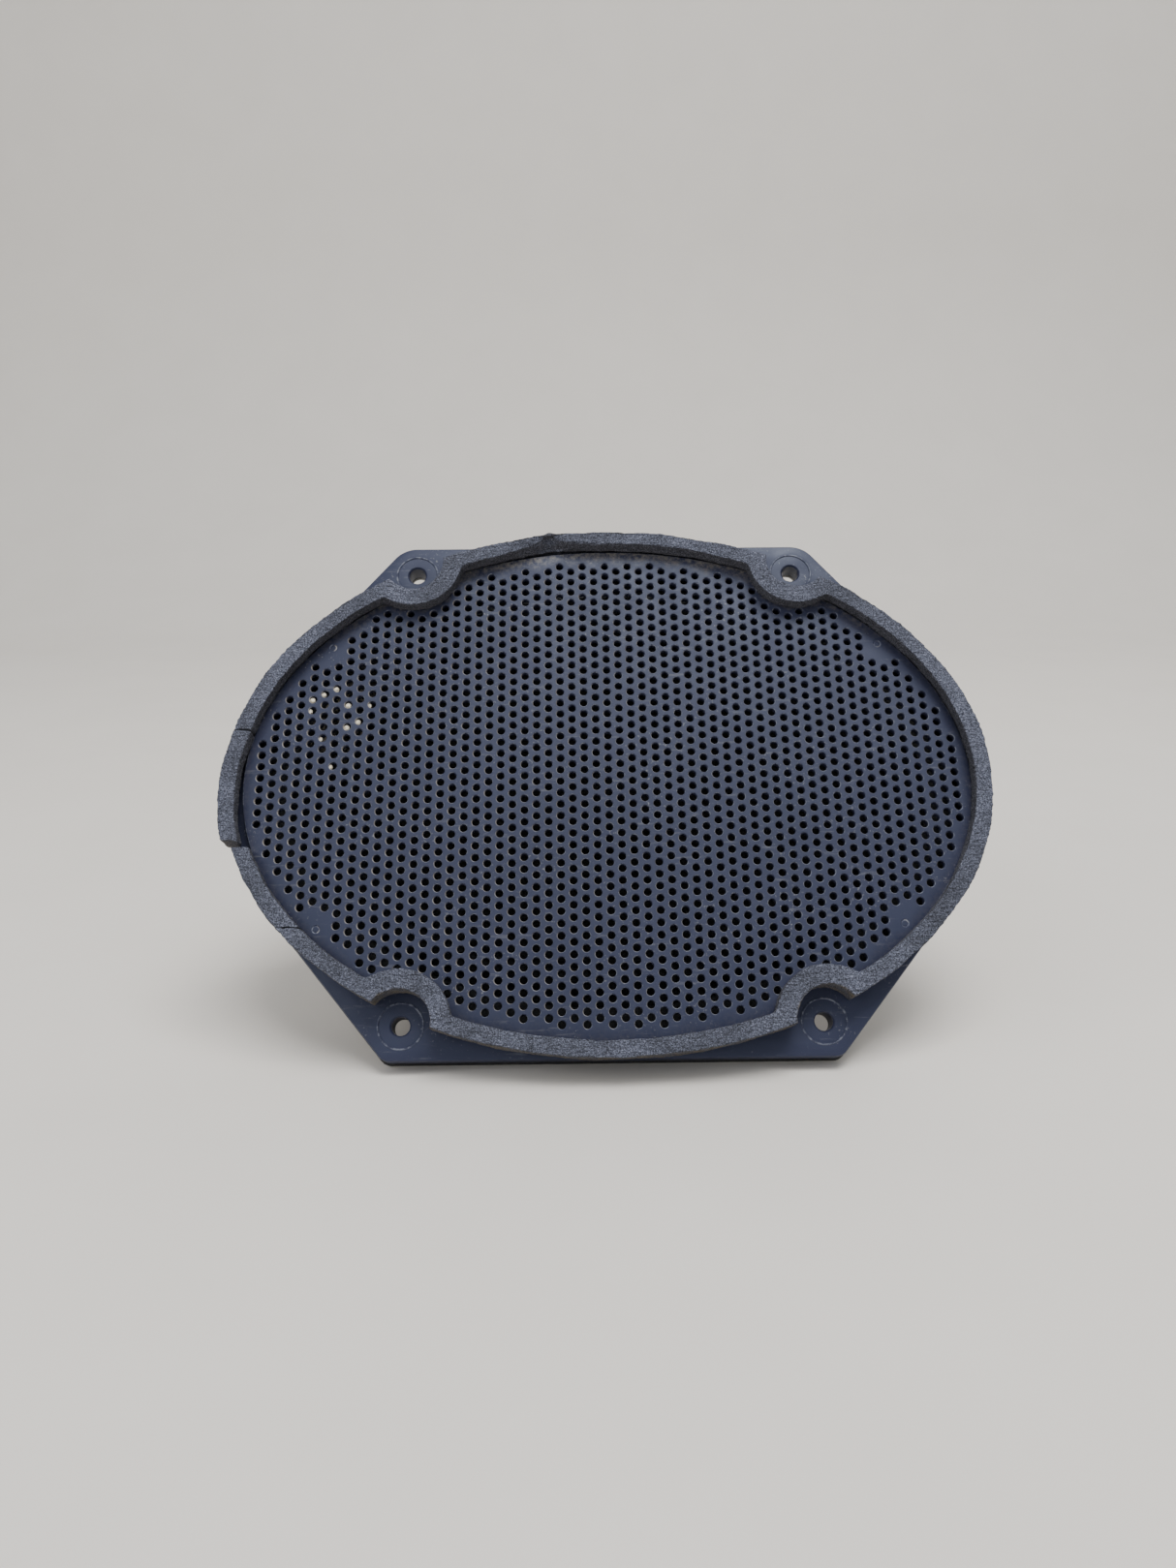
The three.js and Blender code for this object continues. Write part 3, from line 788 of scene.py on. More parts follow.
def roll_top_edge(points):
    """Between the upper screws the strip has rolled outwards, most of all at one fold."""
    x, y, z = points.T
    depth = np.clip((z - FOAM_GAP) / (FOAM_FRONT - FOAM_GAP), 0, 1)
    on_oval = np.sqrt(np.clip(1 - (x / FOAM_OUTSIDE[0]) ** 2, 0, 1))
    inside_share = np.clip((FOAM_OUTSIDE[1] * on_oval - y) / STRIP_WIDTH, 0, 1)
    full, none = ROLLED_HALF_WIDTHS
    stretch = smooth_step(x, -none, -full) * (1 - smooth_step(x, full, none)) * (y > ROLLED_ABOVE)
    fold = np.exp(-np.abs(x - FOLD_X) / FOLD_WIDTH) * stretch
    points[:, 1] += (ROLL_OUTWARDS[0] * stretch + ROLL_OUTWARDS[1] * fold) * depth**1.5 * inside_share
    points[:, 2] -= (ROLL_BACKWARDS[0] * stretch + ROLL_BACKWARDS[1] * fold) * inside_share * depth
    return points


def roughen(piece, dents, grain, wrinkles):
    """Worn foam: shallow dents, an open grain, short wrinkles across the sides, creases along the top."""
    points = points_of(piece)
    normals = normals_of(piece)
    lift = np.full(len(points), -0.7 * (dents + grain) - 0.05)
    for i, p in enumerate(points):
        place = Vector(p)
        lift[i] += dents * noise.noise(place / 7) + grain * noise.noise(place / 0.9)
        sideways = min(max((abs(p[0]) - 70) / 20, 0), 1)
        lift[i] += wrinkles * sideways * noise.noise(Vector((p[0] / 3, p[1] / 0.8, p[2] / 3)))
        if p[1] > 60 and abs(p[0]) < 36:
            lift[i] += 0.3 * min(noise.noise(Vector((p[0] / 12, p[1] / 0.9, p[2] / 2))), 0.2) - 0.06
    set_points(piece, points + normals * lift[:, None])


def foam_piece(name, keep, operation, cracks=()):
    """One stretch of the gasket: cut from the ring, split and rounded. finish_foam wears it afterwards."""
    piece = foam_ring()
    piece.name = name
    boolean(piece, keep, operation)
    for cut in cracks:
        boolean(piece, crack(*cut), "DIFFERENCE")
    remesh = piece.modifiers.new("remesh", "REMESH")
    remesh.mode = "VOXEL"
    remesh.voxel_size = FOAM_VOXEL * MM
    soften = piece.modifiers.new("soften", "SMOOTH")
    soften.factor = 0.5
    soften.iterations = SOFTENING
    apply_modifiers(piece)
    return piece


def finish_foam(piece):
    roughen(piece, dents=0.35, grain=0.16, wrinkles=0.16)
    add_foam_dirt_and_shade(piece)
    smooth(piece, 180)
    return piece


def add_foam_dirt_and_shade(piece):
    """How dirty each point is: brown dust sits along the cut edges, most of all at the bottom. And how far
    each point faces the front, which sets the painted shade on the foam's walls.
    """
    x, y, z = points_of(piece).T
    outside = np.hypot(x / FOAM_OUTSIDE[0], y / FOAM_OUTSIDE[1])
    side = smooth_step(outside, 0.98, 1.0) * (1 - smooth_step(z, 7.5, 9.0))
    low = smooth_step(-y, -10, 60)
    ear = np.min([np.hypot(x - ex, y - ey) for ex, ey in four_times(EAR)], axis=0)
    cutout = 1 - smooth_step(ear, FOAM_CUTOUT_RADIUS, FOAM_CUTOUT_RADIUS + 1.0)
    dirt = np.clip(side * low + 0.8 * cutout * smooth_step(-y, 0, 60), 0, 1)
    add_attribute(piece, "dirt", dirt)
    # Faces that turn away from the front get painted shade in the foam's look
    add_attribute(piece, "front", smooth_step(normals_of(piece)[:, 2], 0.25, 0.8))


def foam_main():
    keep = left_stretch(BUTT_JOINT, PATCH_TOP, seed=41)
    piece = foam_piece("gasket_foam_main", keep, "DIFFERENCE", CRACKS)
    set_points(piece, roll_top_edge(points_of(piece)))
    return finish_foam(piece)


def foam_lower_left():
    keep = left_stretch(BUTT_JOINT - PATCH_GAP, PATCH_BOTTOM - PATCH_GAP, seed=21)
    return finish_foam(foam_piece("gasket_foam_lower_left", keep, "INTERSECT"))


def foam_patch():
    """The loose stretch has turned outwards about its upper end."""
    keep = left_stretch(PATCH_BOTTOM + PATCH_GAP / 2, PATCH_TOP + PATCH_GAP, seed=31)
    piece = foam_piece("gasket_foam_patch", keep, "INTERSECT")
    pivot_x = -FOAM_OUTSIDE[0] * math.sqrt(1 - (PATCH_TOP / FOAM_OUTSIDE[1]) ** 2)
    pivot = np.array([pivot_x, PATCH_TOP])
    c, s = math.cos(PATCH_TURN), math.sin(PATCH_TURN)
    turn = np.array([[c, -s], [s, c]])
    points = points_of(piece)
    points[:, :2] = (points[:, :2] - pivot) @ turn.T + pivot
    set_points(piece, points)
    return finish_foam(piece)


# ---- Basket ----


def through_hole(shell, x, y, radius):
    """A hole through the basket's flange. Gives its front and back rings."""
    return shell.tube([(radius, BASKET_FRONT), (radius, BASKET_BACK)], 32, x, y)


def sloping(start, end, steps=12):
    """Points on the straight line between two profile points, without its ends."""
    return [tuple(Vector(start).lerp(Vector(end), i / steps)) for i in range(1, steps)]


def bowl_ring(shell, radius, z, steps=240):
    """A ring of the bowl. Each spoke but the terminals' one has a bead pressed out along its middle."""
    ring = shell.ring(squeezed_circle(radius, basket_squeeze, steps), z)
    spoke_turn = 2 * math.pi / WINDOWS
    along = smooth_step(radius, *BEAD_START) * (1 - smooth_step(radius, *BEAD_END))
    for i, index in enumerate(ring):
        turn = 2 * math.pi * i / steps
        spoke = round(turn / spoke_turn)
        off_middle = (turn - spoke * spoke_turn) * radius / BEAD_HALF_WIDTH
        if spoke != TERMINAL_SPOKE:
            x, y, height = shell.points[index]
            shell.points[index] = (x, y, height - BEAD_HEIGHT * along * math.exp(-off_middle**2))
    return ring


def basket_windows():
    """The cutter for the windows in the bowl, which have rounded corners."""
    shell = Shell()
    for index in range(WINDOWS):
        turn = (index + 0.5) * 2 * math.pi / WINDOWS
        inner, outer = [
            Vector((r * math.cos(turn), (r - basket_squeeze(r)) * math.sin(turn))) for r in WINDOW_RADII
        ]
        outwards = (outer - inner).normalized()
        across = Vector((-outwards.y, outwards.x))
        narrow, wide = WINDOW_HALF_WIDTHS
        tight, loose = WINDOW_CORNERS
        corners = [
            (*(inner - across * narrow), tight),
            (*(outer - across * wide), loose),
            (*(outer + across * wide), loose),
            (*(inner + across * narrow), tight),
        ]
        shell.closed(*[shell.ring(rounded(corners, 6), z) for z in WINDOW_CUT])
    return shell.piece("windows")


def basket():
    """The pressed steel basket: flat flange, sloping wall with windows, spider ledge and motor seat."""
    shell = Shell()
    holes = [through_hole(shell, x, y, SCREW_HOLE_RADIUS) for x, y in four_times(EAR)]
    holes += [through_hole(shell, x, y, POST_RADIUS + 0.3) for x, y in four_times(STAKE)]
    back_profile = [
        (SEAT_HOLE_RADIUS, SEAT_BACK),
        (SEAT_RADIUS + 0.8, SEAT_BACK),
        (SEAT_RADIUS + 1.5, SEAT_BACK + 0.7),
        (SEAT_RADIUS + 1.6, LEDGE_BACK[1] - 0.8),
        (SEAT_RADIUS + 2.4, LEDGE_BACK[1]),
        LEDGE_BACK,
        *sloping(LEDGE_BACK, SHOULDER_BACK),
        SHOULDER_BACK,
        *FLARE_BACK,
        (OPENING_BACK + 0.5, BASKET_BACK),
    ]
    front_profile = [
        (OPENING + 0.6, BASKET_FRONT),
        (OPENING - 0.2, BASKET_FRONT - 0.7),
        SHOULDER,
        *sloping(SHOULDER, (LEDGE_RADIUS, LEDGE_Z)),
        (LEDGE_RADIUS, LEDGE_Z),
        (SEAT_RADIUS + 0.8, LEDGE_Z),
        (SEAT_RADIUS, LEDGE_Z - 0.8),
        (SEAT_RADIUS, SEAT_Z + 1),
        (SEAT_RADIUS - 1, SEAT_Z),
        (SEAT_HOLE_RADIUS, SEAT_Z),
    ]
    backs = [bowl_ring(shell, radius, z) for radius, z in back_profile]
    fronts = [bowl_ring(shell, radius, z) for radius, z in front_profile]
    shell.walls(*backs)
    shell.walls(*fronts, backs[0])

    lip = flange_outline(BASKET_LIP)
    edge = [
        shell.ring(inset(lip, 0.45), BASKET_BACK),
        shell.ring(inset(lip, 0.1), BASKET_BACK + 0.25),
        shell.ring(lip, (BASKET_BACK + BASKET_FRONT) / 2),
        shell.ring(inset(lip, 0.1), BASKET_FRONT - 0.25),
        shell.ring(inset(lip, 0.45), BASKET_FRONT),
    ]
    shell.walls(*edge)
    shell.fill(edge[0], [backs[-1], *[back for _, back in holes]], forwards=False)
    shell.fill(edge[-1], [fronts[0], *[front for front, _ in holes]])
    piece = shell.piece("pressed_basket")
    boolean(piece, basket_windows(), "DIFFERENCE")
    merge_close_points(piece)
    smooth(piece, 30)
    return piece


# ---- Moving assembly ----


def bend(piece):
    """Bakes the piece's placing into its mesh. It does not bend the piece between the cone and the frame."""
    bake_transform(piece)


def surround():
    """A half-roll of foam with a flat lip on each side, worn ragged at one place, where it is painted pale as
    the light that comes through its tear.
    """
    inner, outer = SURROUND_LIPS
    roll_inner, roll_outer = SURROUND_ROLL
    middle = (roll_inner + roll_outer) / 2
    half = (roll_outer - roll_inner) / 2
    back = SURROUND_BASE - SURROUND_THICKNESS
    slack = SURROUND_THICKNESS
    crest = arc(middle, SURROUND_BASE, half, SURROUND_HEIGHT, 0, math.pi, 18)
    under = arc(middle, back, half - slack, SURROUND_HEIGHT, math.pi, 0, 18)
    profile = [
        *under,
        (outer - 0.2, back),
        (outer, back + 0.2),
        (outer, SURROUND_BASE - 0.2),
        (outer - 0.2, SURROUND_BASE),
        *crest,
        (inner + 0.2, SURROUND_BASE),
        (inner, SURROUND_BASE - 0.2),
        (inner, back + 0.2),
        (inner + 0.2, back),
    ]
    steps = 220
    piece = turned("foam_surround", profile, steps, rim_squeeze, smooth_angle=60)
    radius = np.repeat([r for r, _ in profile], steps)
    points = points_of(piece)
    on_roll = smooth_step(radius, roll_inner, roll_inner + 2)
    on_roll *= 1 - smooth_step(radius, roll_outer - 2, roll_outer)
    points[:, 2] += 0.35 * on_roll * lumps(points, 6)
    set_points(piece, points)
    # The torn place is painted pale: painted light that comes through the tear
    off_torn = np.hypot(points[:, 0] - TORN_PLACE[0], points[:, 1] - TORN_PLACE[1])
    add_attribute(piece, "torn_and_lit", 1 - smooth_step(off_torn, 6, 15))
    bend(piece)
    return piece


def cone_height(radius):
    slant = min(max((radius - CONE_NECK) / (CONE_SHELF - CONE_NECK), 0), 1)
    return CONE_RIM_Z + (CONE_NECK_Z - CONE_RIM_Z) * (1 - slant) ** CONE_FLARE


def rib_height(radius):
    return sum(RIB_HEIGHT * math.exp(-(((radius - rib) / 0.9) ** 2)) for rib in CONE_RIBS)


def cone():
    """The oval paper cone, with pressed ribs that run round it."""
    radii = np.concatenate([np.linspace(CONE_NECK, CONE_SHELF, 90), [CONE_RIM - 0.2]])
    back = [(r, cone_height(r) - CONE_THICKNESS + rib_height(r)) for r in radii]
    front = [(r, cone_height(r) + rib_height(r)) for r in radii[::-1]]
    edge = [(CONE_RIM, CONE_RIM_Z - CONE_THICKNESS + 0.2), (CONE_RIM, CONE_RIM_Z - 0.2)]
    piece = turned("paper_cone", back + edge + front, 180, cone_squeeze, smooth_angle=50)
    points = points_of(piece)
    points[:, 2] += 0.05 * lumps(points, 1.6)
    set_points(piece, points)
    return piece


def dust_cap():
    """A pressed dome with a narrow flat lip that is glued to the cone."""
    base = cone_height(CAP_RADIUS) + 0.6
    lip = CAP_RADIUS - 1.2
    turns = np.linspace(0, math.pi / 2, 16)[:-1]
    outside = [(lip * math.cos(t), base + 0.3 + (CAP_HEIGHT - 0.3) * math.sin(t)) for t in turns]
    inner = lip - CAP_THICKNESS
    inside = [(inner * math.cos(t), base + (CAP_HEIGHT - CAP_THICKNESS) * math.sin(t)) for t in turns]
    edge = [
        (CAP_RADIUS - 0.2, base),
        (CAP_RADIUS, base + 0.2),
        (CAP_RADIUS - 0.2, base + 0.45),
        (lip + 0.5, base + 0.5),
    ]
    return turned_solid("dust_cap_dome", [*inside[::-1], *edge, *outside], 96, cone_squeeze)


def voice_coil_former():
    """A thin paper tube."""
    inner, outer = FORMER_RADII
    back, front = FORMER_ENDS
    return turned("coil_former_tube", [(inner, back), (outer, back), (outer, front), (inner, front)])


def voice_coil_winding():
    """Round wire, drawn as one ridge for each turn, and a straight inner face."""
    inner, outer = WINDING_RADII
    back, front = WINDING_ENDS
    pitch = (front - back) / WINDING_TURNS
    wire = pitch / 2
    turns = []
    for i in range(WINDING_TURNS):
        middle = back + (i + 0.5) * pitch
        turns += arc(outer - wire, middle, wire, 0.92 * wire, -math.pi / 2, math.pi / 2, 6)
    return turned("coil_winding_turns", [(inner, back), *turns, (inner, front)], 96, smooth_angle=50)


def spider():
    """The corrugated cloth disc, glued to the basket's ledge at its edge."""
    inner, outer, lip = SPIDER_RADII
    steps = SPIDER_WAVES * 12
    back = []
    for i in range(steps + 1):
        share = i / steps
        swell = smooth_step(share, 0, 0.08) * (1 - smooth_step(share, 0.92, 1))
        wave = SPIDER_WAVE_HEIGHT * swell * math.sin(share * SPIDER_WAVES * 2 * math.pi)
        back.append((inner + (outer - inner) * share, SPIDER_SEAT + wave))
    back += [(lip - 0.3, SPIDER_SEAT), (lip, SPIDER_SEAT + 0.15)]
    front = [(radius, z + SPIDER_THICKNESS) for radius, z in back[:-1]][::-1]
    edge = [(lip, SPIDER_SEAT + SPIDER_THICKNESS - 0.1)]
    profile = back + edge + front
    sides = 144
    piece = turned("spider_cloth_disc", profile, sides, smooth_angle=60)
    bend(piece)
    return piece


# ---- Motor ----


def top_plate():
    """A turned steel ring, drilled for its four rivets."""
    shell = Shell()
    inner, outer = TOP_PLATE_RADII
    back, front = TOP_PLATE_ENDS
    outline = [(outer - 0.7, back), (outer - 0.2, back + 0.2), (outer, back + 0.7)]
    outline += [(outer, front - 0.7), (outer - 0.2, front - 0.2), (outer - 0.7, front)]
    bore = [(inner + 0.4, front), (inner, front - 0.4), (inner, back + 0.4), (inner + 0.4, back)]
    rims = shell.tube(outline, 128)
    bores = shell.tube(bore, 96)
    drilled = [(RIVET_SHANK_RADIUS + 0.3, front), (RIVET_SHANK_RADIUS + 0.3, back)]
    holes = [shell.tube(drilled, 24, x, y) for x, y in four_times(RIVET_PLACE)]
    shell.fill(rims[0], [bores[-1], *[back_ring for _, back_ring in holes]], forwards=False)
    shell.fill(rims[-1], [bores[0], *[front_ring for front_ring, _ in holes]])
    return shell.piece("motor_top_plate")


def magnet():
    """A ground ferrite ring. Its edges are chipped, as this brittle material always is."""
    inner, outer = MAGNET_RADII
    back, front = MAGNET_ENDS
    corners = [(inner, back, 0.4), (outer, back, 0.9), (outer, front, 0.9), (inner, front, 0.4)]
    profile = rounded(corners, 5)
    profile[12:12] = [(outer, z) for z in np.linspace(back + 1.5, front - 1.5, 9)]
    piece = turned("ferrite_ring", profile, 256, smooth_angle=40)
    points = points_of(piece)
    x, y, z = points.T
    radius = np.hypot(x, y)
    edge = smooth_step(radius, outer - 1.5, outer - 0.5)
    edge *= smooth_step(abs(z - (back + front) / 2), 3.8, 5.2)
    chips = np.maximum(lumps(points, 3.2, (9, 0, 0)) - 0.22, 0)
    grain = lumps(points, 1.1)
    shrink = 1 - (2.6 * edge * chips + 0.04 * abs(grain)) / radius
    points[:, :2] *= shrink[:, None]
    set_points(piece, points)
    return piece


def yoke():
    """The turned back plate and its centre pole, with the lathe's centre mark in its back."""
    back, front = YOKE_ENDS
    pole = POLE_RADIUS
    mark = [(0.4, back + 1.6), (1.8, back + 0.3), (2.2, back)]
    grooves = []
    for radius in np.linspace(5, YOKE_RADIUS - 3, 18):
        grooves += [(radius, back), (radius + 0.25, back + 0.06), (radius + 0.5, back)]
    profile = [
        *mark,
        *grooves,
        (YOKE_RADIUS - 1.2, back),
        (YOKE_RADIUS - 0.35, back + 0.35),
        (YOKE_RADIUS, back + 1.2),
        (YOKE_RADIUS, front - 0.8),
        (YOKE_RADIUS - 0.25, front - 0.25),
        (YOKE_RADIUS - 0.8, front),
        (pole + 0.6, front),
        (pole + 0.15, front + 0.15),
        (pole, front + 0.6),
        (pole, POLE_FRONT - 0.8),
        (pole - 0.8, POLE_FRONT),
        (0.4, POLE_FRONT),
    ]
    return turned_solid("yoke_and_pole", profile, 144)


def motor_rivet(number, place):
    """A domed head on a straight shank."""
    head_radius, head_height = RIVET_HEAD
    back, head_back = RIVET_ENDS
    dome = arc(0, head_back + 0.35, head_radius, head_height - 0.35, 0, math.pi / 2 - 0.08, 9)
    shell = Shell()
    radius = RIVET_SHANK_RADIUS
    shank = [(radius - 0.2, back), (radius, back + 0.2), (radius, head_back)]
    add_turned_solid(shell, shank + [(head_radius - 0.2, head_back), *dome], 40, centre=place)
    return shell.piece(f"domed_rivet_{number}", 40)


# ---- Terminals ----


def terminal_place():
    """The terminal strip's own frame: Z out of the sloping wall, and Y down it towards the motor."""
    top = Vector((SHOULDER_BACK[0] - OVAL_SQUEEZE, SHOULDER_BACK[1]))
    bottom = Vector(LEDGE_BACK)
    down = bottom - top
    middle = (top + bottom) / 2
    turn = Matrix.Rotation(math.atan2(down.y, down.x), 4, "X")
    return Matrix.Translation(Vector((0, *middle)) * MM) @ turn


def chamfered_plate(shell, outline, back, front, chamfer, holes=()):
    """A flat plate with chamfered edges. Holes are (x, y, radius)."""
    small = inset(outline, chamfer)
    rims = [
        shell.ring(small, back),
        shell.ring(outline, back + chamfer),
        shell.ring(outline, front - chamfer),
        shell.ring(small, front),
    ]
    shell.walls(*rims)
    drilled = [shell.tube([(radius, front), (radius, back)], 24, x, y) for x, y, radius in holes]
    shell.fill(rims[0], [back_ring for _, back_ring in drilled], forwards=False)
    shell.fill(rims[-1], [front_ring for front_ring, _ in drilled])


def on_terminal(piece):
    piece.matrix_world = SPEAKER @ terminal_place()
    return piece


def terminal_strip():
    x, y = TERMINAL_HALF
    outline = rounded([(-x, -y, 1.2), (x, -y, 1.2), (x, y, 1.2), (-x, y, 1.2)], 5)
    shell = Shell()
    chamfered_plate(shell, outline, 0.3, 0.3 + TERMINAL_THICKNESS, 0.15, [(0, 0, 1.6)])
    return on_terminal(shell.piece("terminal_board_strip"))


def terminal_rivet():
    """A hollow eyelet rivet, rolled over in front of the strip."""
    seat = TERMINAL_THICKNESS + 0.6
    roll = arc(1.75, seat + 0.5, 0.65, 0.5, -math.pi / 2, math.pi, 12)
    profile = [(0.3, -2.2), (1.3, -2.2), (1.3, seat), *roll, (0.9, seat - 0.6), (0.3, seat - 0.6)]
    return on_terminal(turned_solid("terminal_board_rivet", profile, 32))


def terminal_blade(side, name):
    """A push-on tab with a chamfered tip and a hole near it, and a drop of solder at its other end."""
    half = BLADE_WIDTHS[side] / 2
    start, end = BLADE_ENDS
    x = side * BLADE_X
    corners = [
        (x - half, start, 0.4),
        (x + half, start, 0.4),
        (x + half, end - 1.4, 0.3),
        (x + half - 1, end, 0.3),
        (x - half + 1, end, 0.3),
        (x - half, end - 1.4, 0.3),
    ]
    seat = TERMINAL_THICKNESS + 0.6
    shell = Shell()
    chamfered_plate(shell, rounded(corners), seat, seat + BLADE_THICKNESS, 0.12, [(x, end - 3.4, 0.85)])
    top = seat + BLADE_THICKNESS
    solder = [(1.5, top - 0.1), (1.45, top + 0.1), (1.0, top + 0.4), (0.4, top + 0.55)]
    add_turned_solid(shell, solder, 24, centre=(x, start + 2))
    return on_terminal(shell.piece(name))


def eyelet_place(side):
    y = (EYELET_RING - cone_squeeze(EYELET_RING)) * math.sin(EYELET_ANGLE)
    z = cone_height(EYELET_RING) - CONE_THICKNESS - EYELET_BEHIND_CONE
    return Vector((side * EYELET_RING * math.cos(EYELET_ANGLE), y, z))


def eyelet(side, name):
    """A rolled eyelet behind the cone, filled with solder."""
    place = eyelet_place(side)
    back = place.z - EYELET_HEIGHT
    roll = arc(EYELET_RADIUS - 0.35, back + 0.4, 0.35, 0.4, math.pi, 2 * math.pi, 8)
    wall = [(EYELET_RADIUS, place.z - 0.2), (EYELET_RADIUS - 0.2, place.z), (0.3, place.z)]
    shell = Shell()
    solder = [(0.3, back + 0.1), (0.9, back + 0.25)]
    add_turned_solid(shell, [*solder, *roll, *wall], 32, centre=place[:2])
    return shell.piece(name)


def smooth_path(knots, steps):
    """A curve through the knots (Catmull-Rom), with this many steps between two of them."""
    knots = [Vector(k) for k in knots]
    ends = [2 * knots[0] - knots[1], *knots, 2 * knots[-1] - knots[-2]]
    path = []
    for before, start, end, after in zip(ends, ends[1:], ends[2:], ends[3:]):
        for i in range(steps):
            t = i / steps
            bend_in = (end - before) / 2
            bend_out = (after - start) / 2
            path.append(
                start * (2 * t**3 - 3 * t**2 + 1)
                + bend_in * (t**3 - 2 * t**2 + t)
                + end * (3 * t**2 - 2 * t**3)
                + bend_out * (t**3 - t**2)
            )
    return [*path, knots[-1]]


def sections(path):
    """For each point of the path, two directions across it that turn as little as possible."""
    across = Vector((0, 0, 1))
    frames = []
    for i, point in enumerate(path):
        along = (path[min(i + 1, len(path) - 1)] - path[max(i - 1, 0)]).normalized()
        across = (across - along * across.dot(along)).normalized()
        frames.append((point, across, along.cross(across)))
    return frames


def strand(shell, path, radius, sides=6):
    """A thin round wire along the path."""
    rings = []
    for point, u, v in sections(path):
        start = len(shell.points)
        shell.points += [tuple(point + radius * (u * c + v * s)) for c, s in circle(0, 0, 1, sides)]
        rings.append(list(range(start, start + sides)))
    shell.walls(*rings)
    shell.faces.append(tuple(rings[0][::-1]))
    shell.faces.append(tuple(rings[-1]))


def lead(side, name):
    """A twisted lead from near its blade, in through the nearest window, to its eyelet on the cone."""
    end = eyelet_place(side) - Vector((0, 0, EYELET_HEIGHT + 0.55))
    route = [(side * x, y, z) for x, y, z in LEAD_ROUTE]
    shell = Shell()
    frames = sections(smooth_path([*route, end], 26))
    for k in range(STRANDS):
        path = []
        for i, (point, u, v) in enumerate(frames):
            t = 2 * math.pi * (k / STRANDS + i / STEPS_PER_TWIST)
            path.append(point + STRAND_CIRCLE * (u * math.cos(t) + v * math.sin(t)))
        strand(shell, path, STRAND_RADIUS)
    strand(shell, [p for p, _, _ in frames], STRAND_RADIUS)
    piece = shell.piece(name, 60)
    bend(piece)
    return piece


# ---- Materials ----


class Look:
    """A procedural material, with short calls for the nodes that the looks below share."""

    def __init__(self, name, roughness, metallic=0.0):
        self.material = bpy.data.materials.new(name)
        self.material.use_nodes = True
        self.tree = self.material.node_tree
        self.shader = self.tree.nodes["Principled BSDF"]
        self.shader.inputs["Roughness"].default_value = roughness
        self.shader.inputs["Metallic"].default_value = metallic
        self.place = self.tree.nodes.new("ShaderNodeTexCoord").outputs["Object"]

    def link(self, value, socket):
        if isinstance(value, bpy.types.NodeSocket):
            self.tree.links.new(value, socket)
        else:
            socket.default_value = value

    def stretched(self, x, y, z):
        node = self.tree.nodes.new("ShaderNodeMapping")
        node.inputs["Scale"].default_value = (x, y, z)
        self.link(self.place, node.inputs["Vector"])
        return node.outputs["Vector"]

    def grain(self, size, detail=3.0, rough=0.55, place=None, swirl=0.0):
        """Noise with features of about this size, in millimetres."""
        node = self.tree.nodes.new("ShaderNodeTexNoise")
        node.inputs["Distortion"].default_value = swirl
        node.inputs["Scale"].default_value = 1 / (size * MM)
        node.inputs["Detail"].default_value = detail
        node.inputs["Roughness"].default_value = rough
        self.link(place or self.place, node.inputs["Vector"])
        return node.outputs["Fac"]

    def ramp(self, value, *stops):
        """Turns a value into a grey level or a colour: stops are (position, grey or colour)."""
        node = self.tree.nodes.new("ShaderNodeValToRGB")
        elements = node.color_ramp.elements
        while len(elements) < len(stops):
            elements.new(0.5)
        for element, (position, colour) in zip(elements, stops):
            element.position = position
            grey = isinstance(colour, (int, float))
            element.color = (colour, colour, colour, 1) if grey else (*colour, 1)
        self.link(value, node.inputs["Fac"])
        return node.outputs["Color"]

    def mix(self, share, first, second, blend="MIX"):
        node = self.tree.nodes.new("ShaderNodeMix")
        node.data_type = "RGBA"
        node.blend_type = blend
        self.link(share, node.inputs["Factor"])
        self.link((*first, 1) if isinstance(first, tuple) else first, node.inputs[6])
        self.link((*second, 1) if isinstance(second, tuple) else second, node.inputs[7])
        return node.outputs[2]

    def maths(self, operation, first, second):
        node = self.tree.nodes.new("ShaderNodeMath")
        node.operation = operation
        self.link(first, node.inputs[0])
        self.link(second, node.inputs[1])
        return node.outputs["Value"]

    def times(self, first, second):
        return self.maths("MULTIPLY", first, second)

    def attribute(self, name):
        node = self.tree.nodes.new("ShaderNodeAttribute")
        node.attribute_name = name
        return node.outputs["Fac"]

    def colour(self, value):
        self.link(value if not isinstance(value, tuple) else (*value, 1), self.shader.inputs["Base Color"])

    def roughness(self, value):
        self.link(value, self.shader.inputs["Roughness"])

    def bump(self, height, depth, strength=1.0):
        """Bump of this depth in millimetres, on top of any bump given before."""
        node = self.tree.nodes.new("ShaderNodeBump")
        node.inputs["Strength"].default_value = strength
        node.inputs["Distance"].default_value = depth * MM
        self.link(height, node.inputs["Height"])
        socket = self.shader.inputs["Normal"]
        if socket.is_linked:
            self.link(socket.links[0].from_socket, node.inputs["Normal"])
        self.link(node.outputs["Normal"], socket)


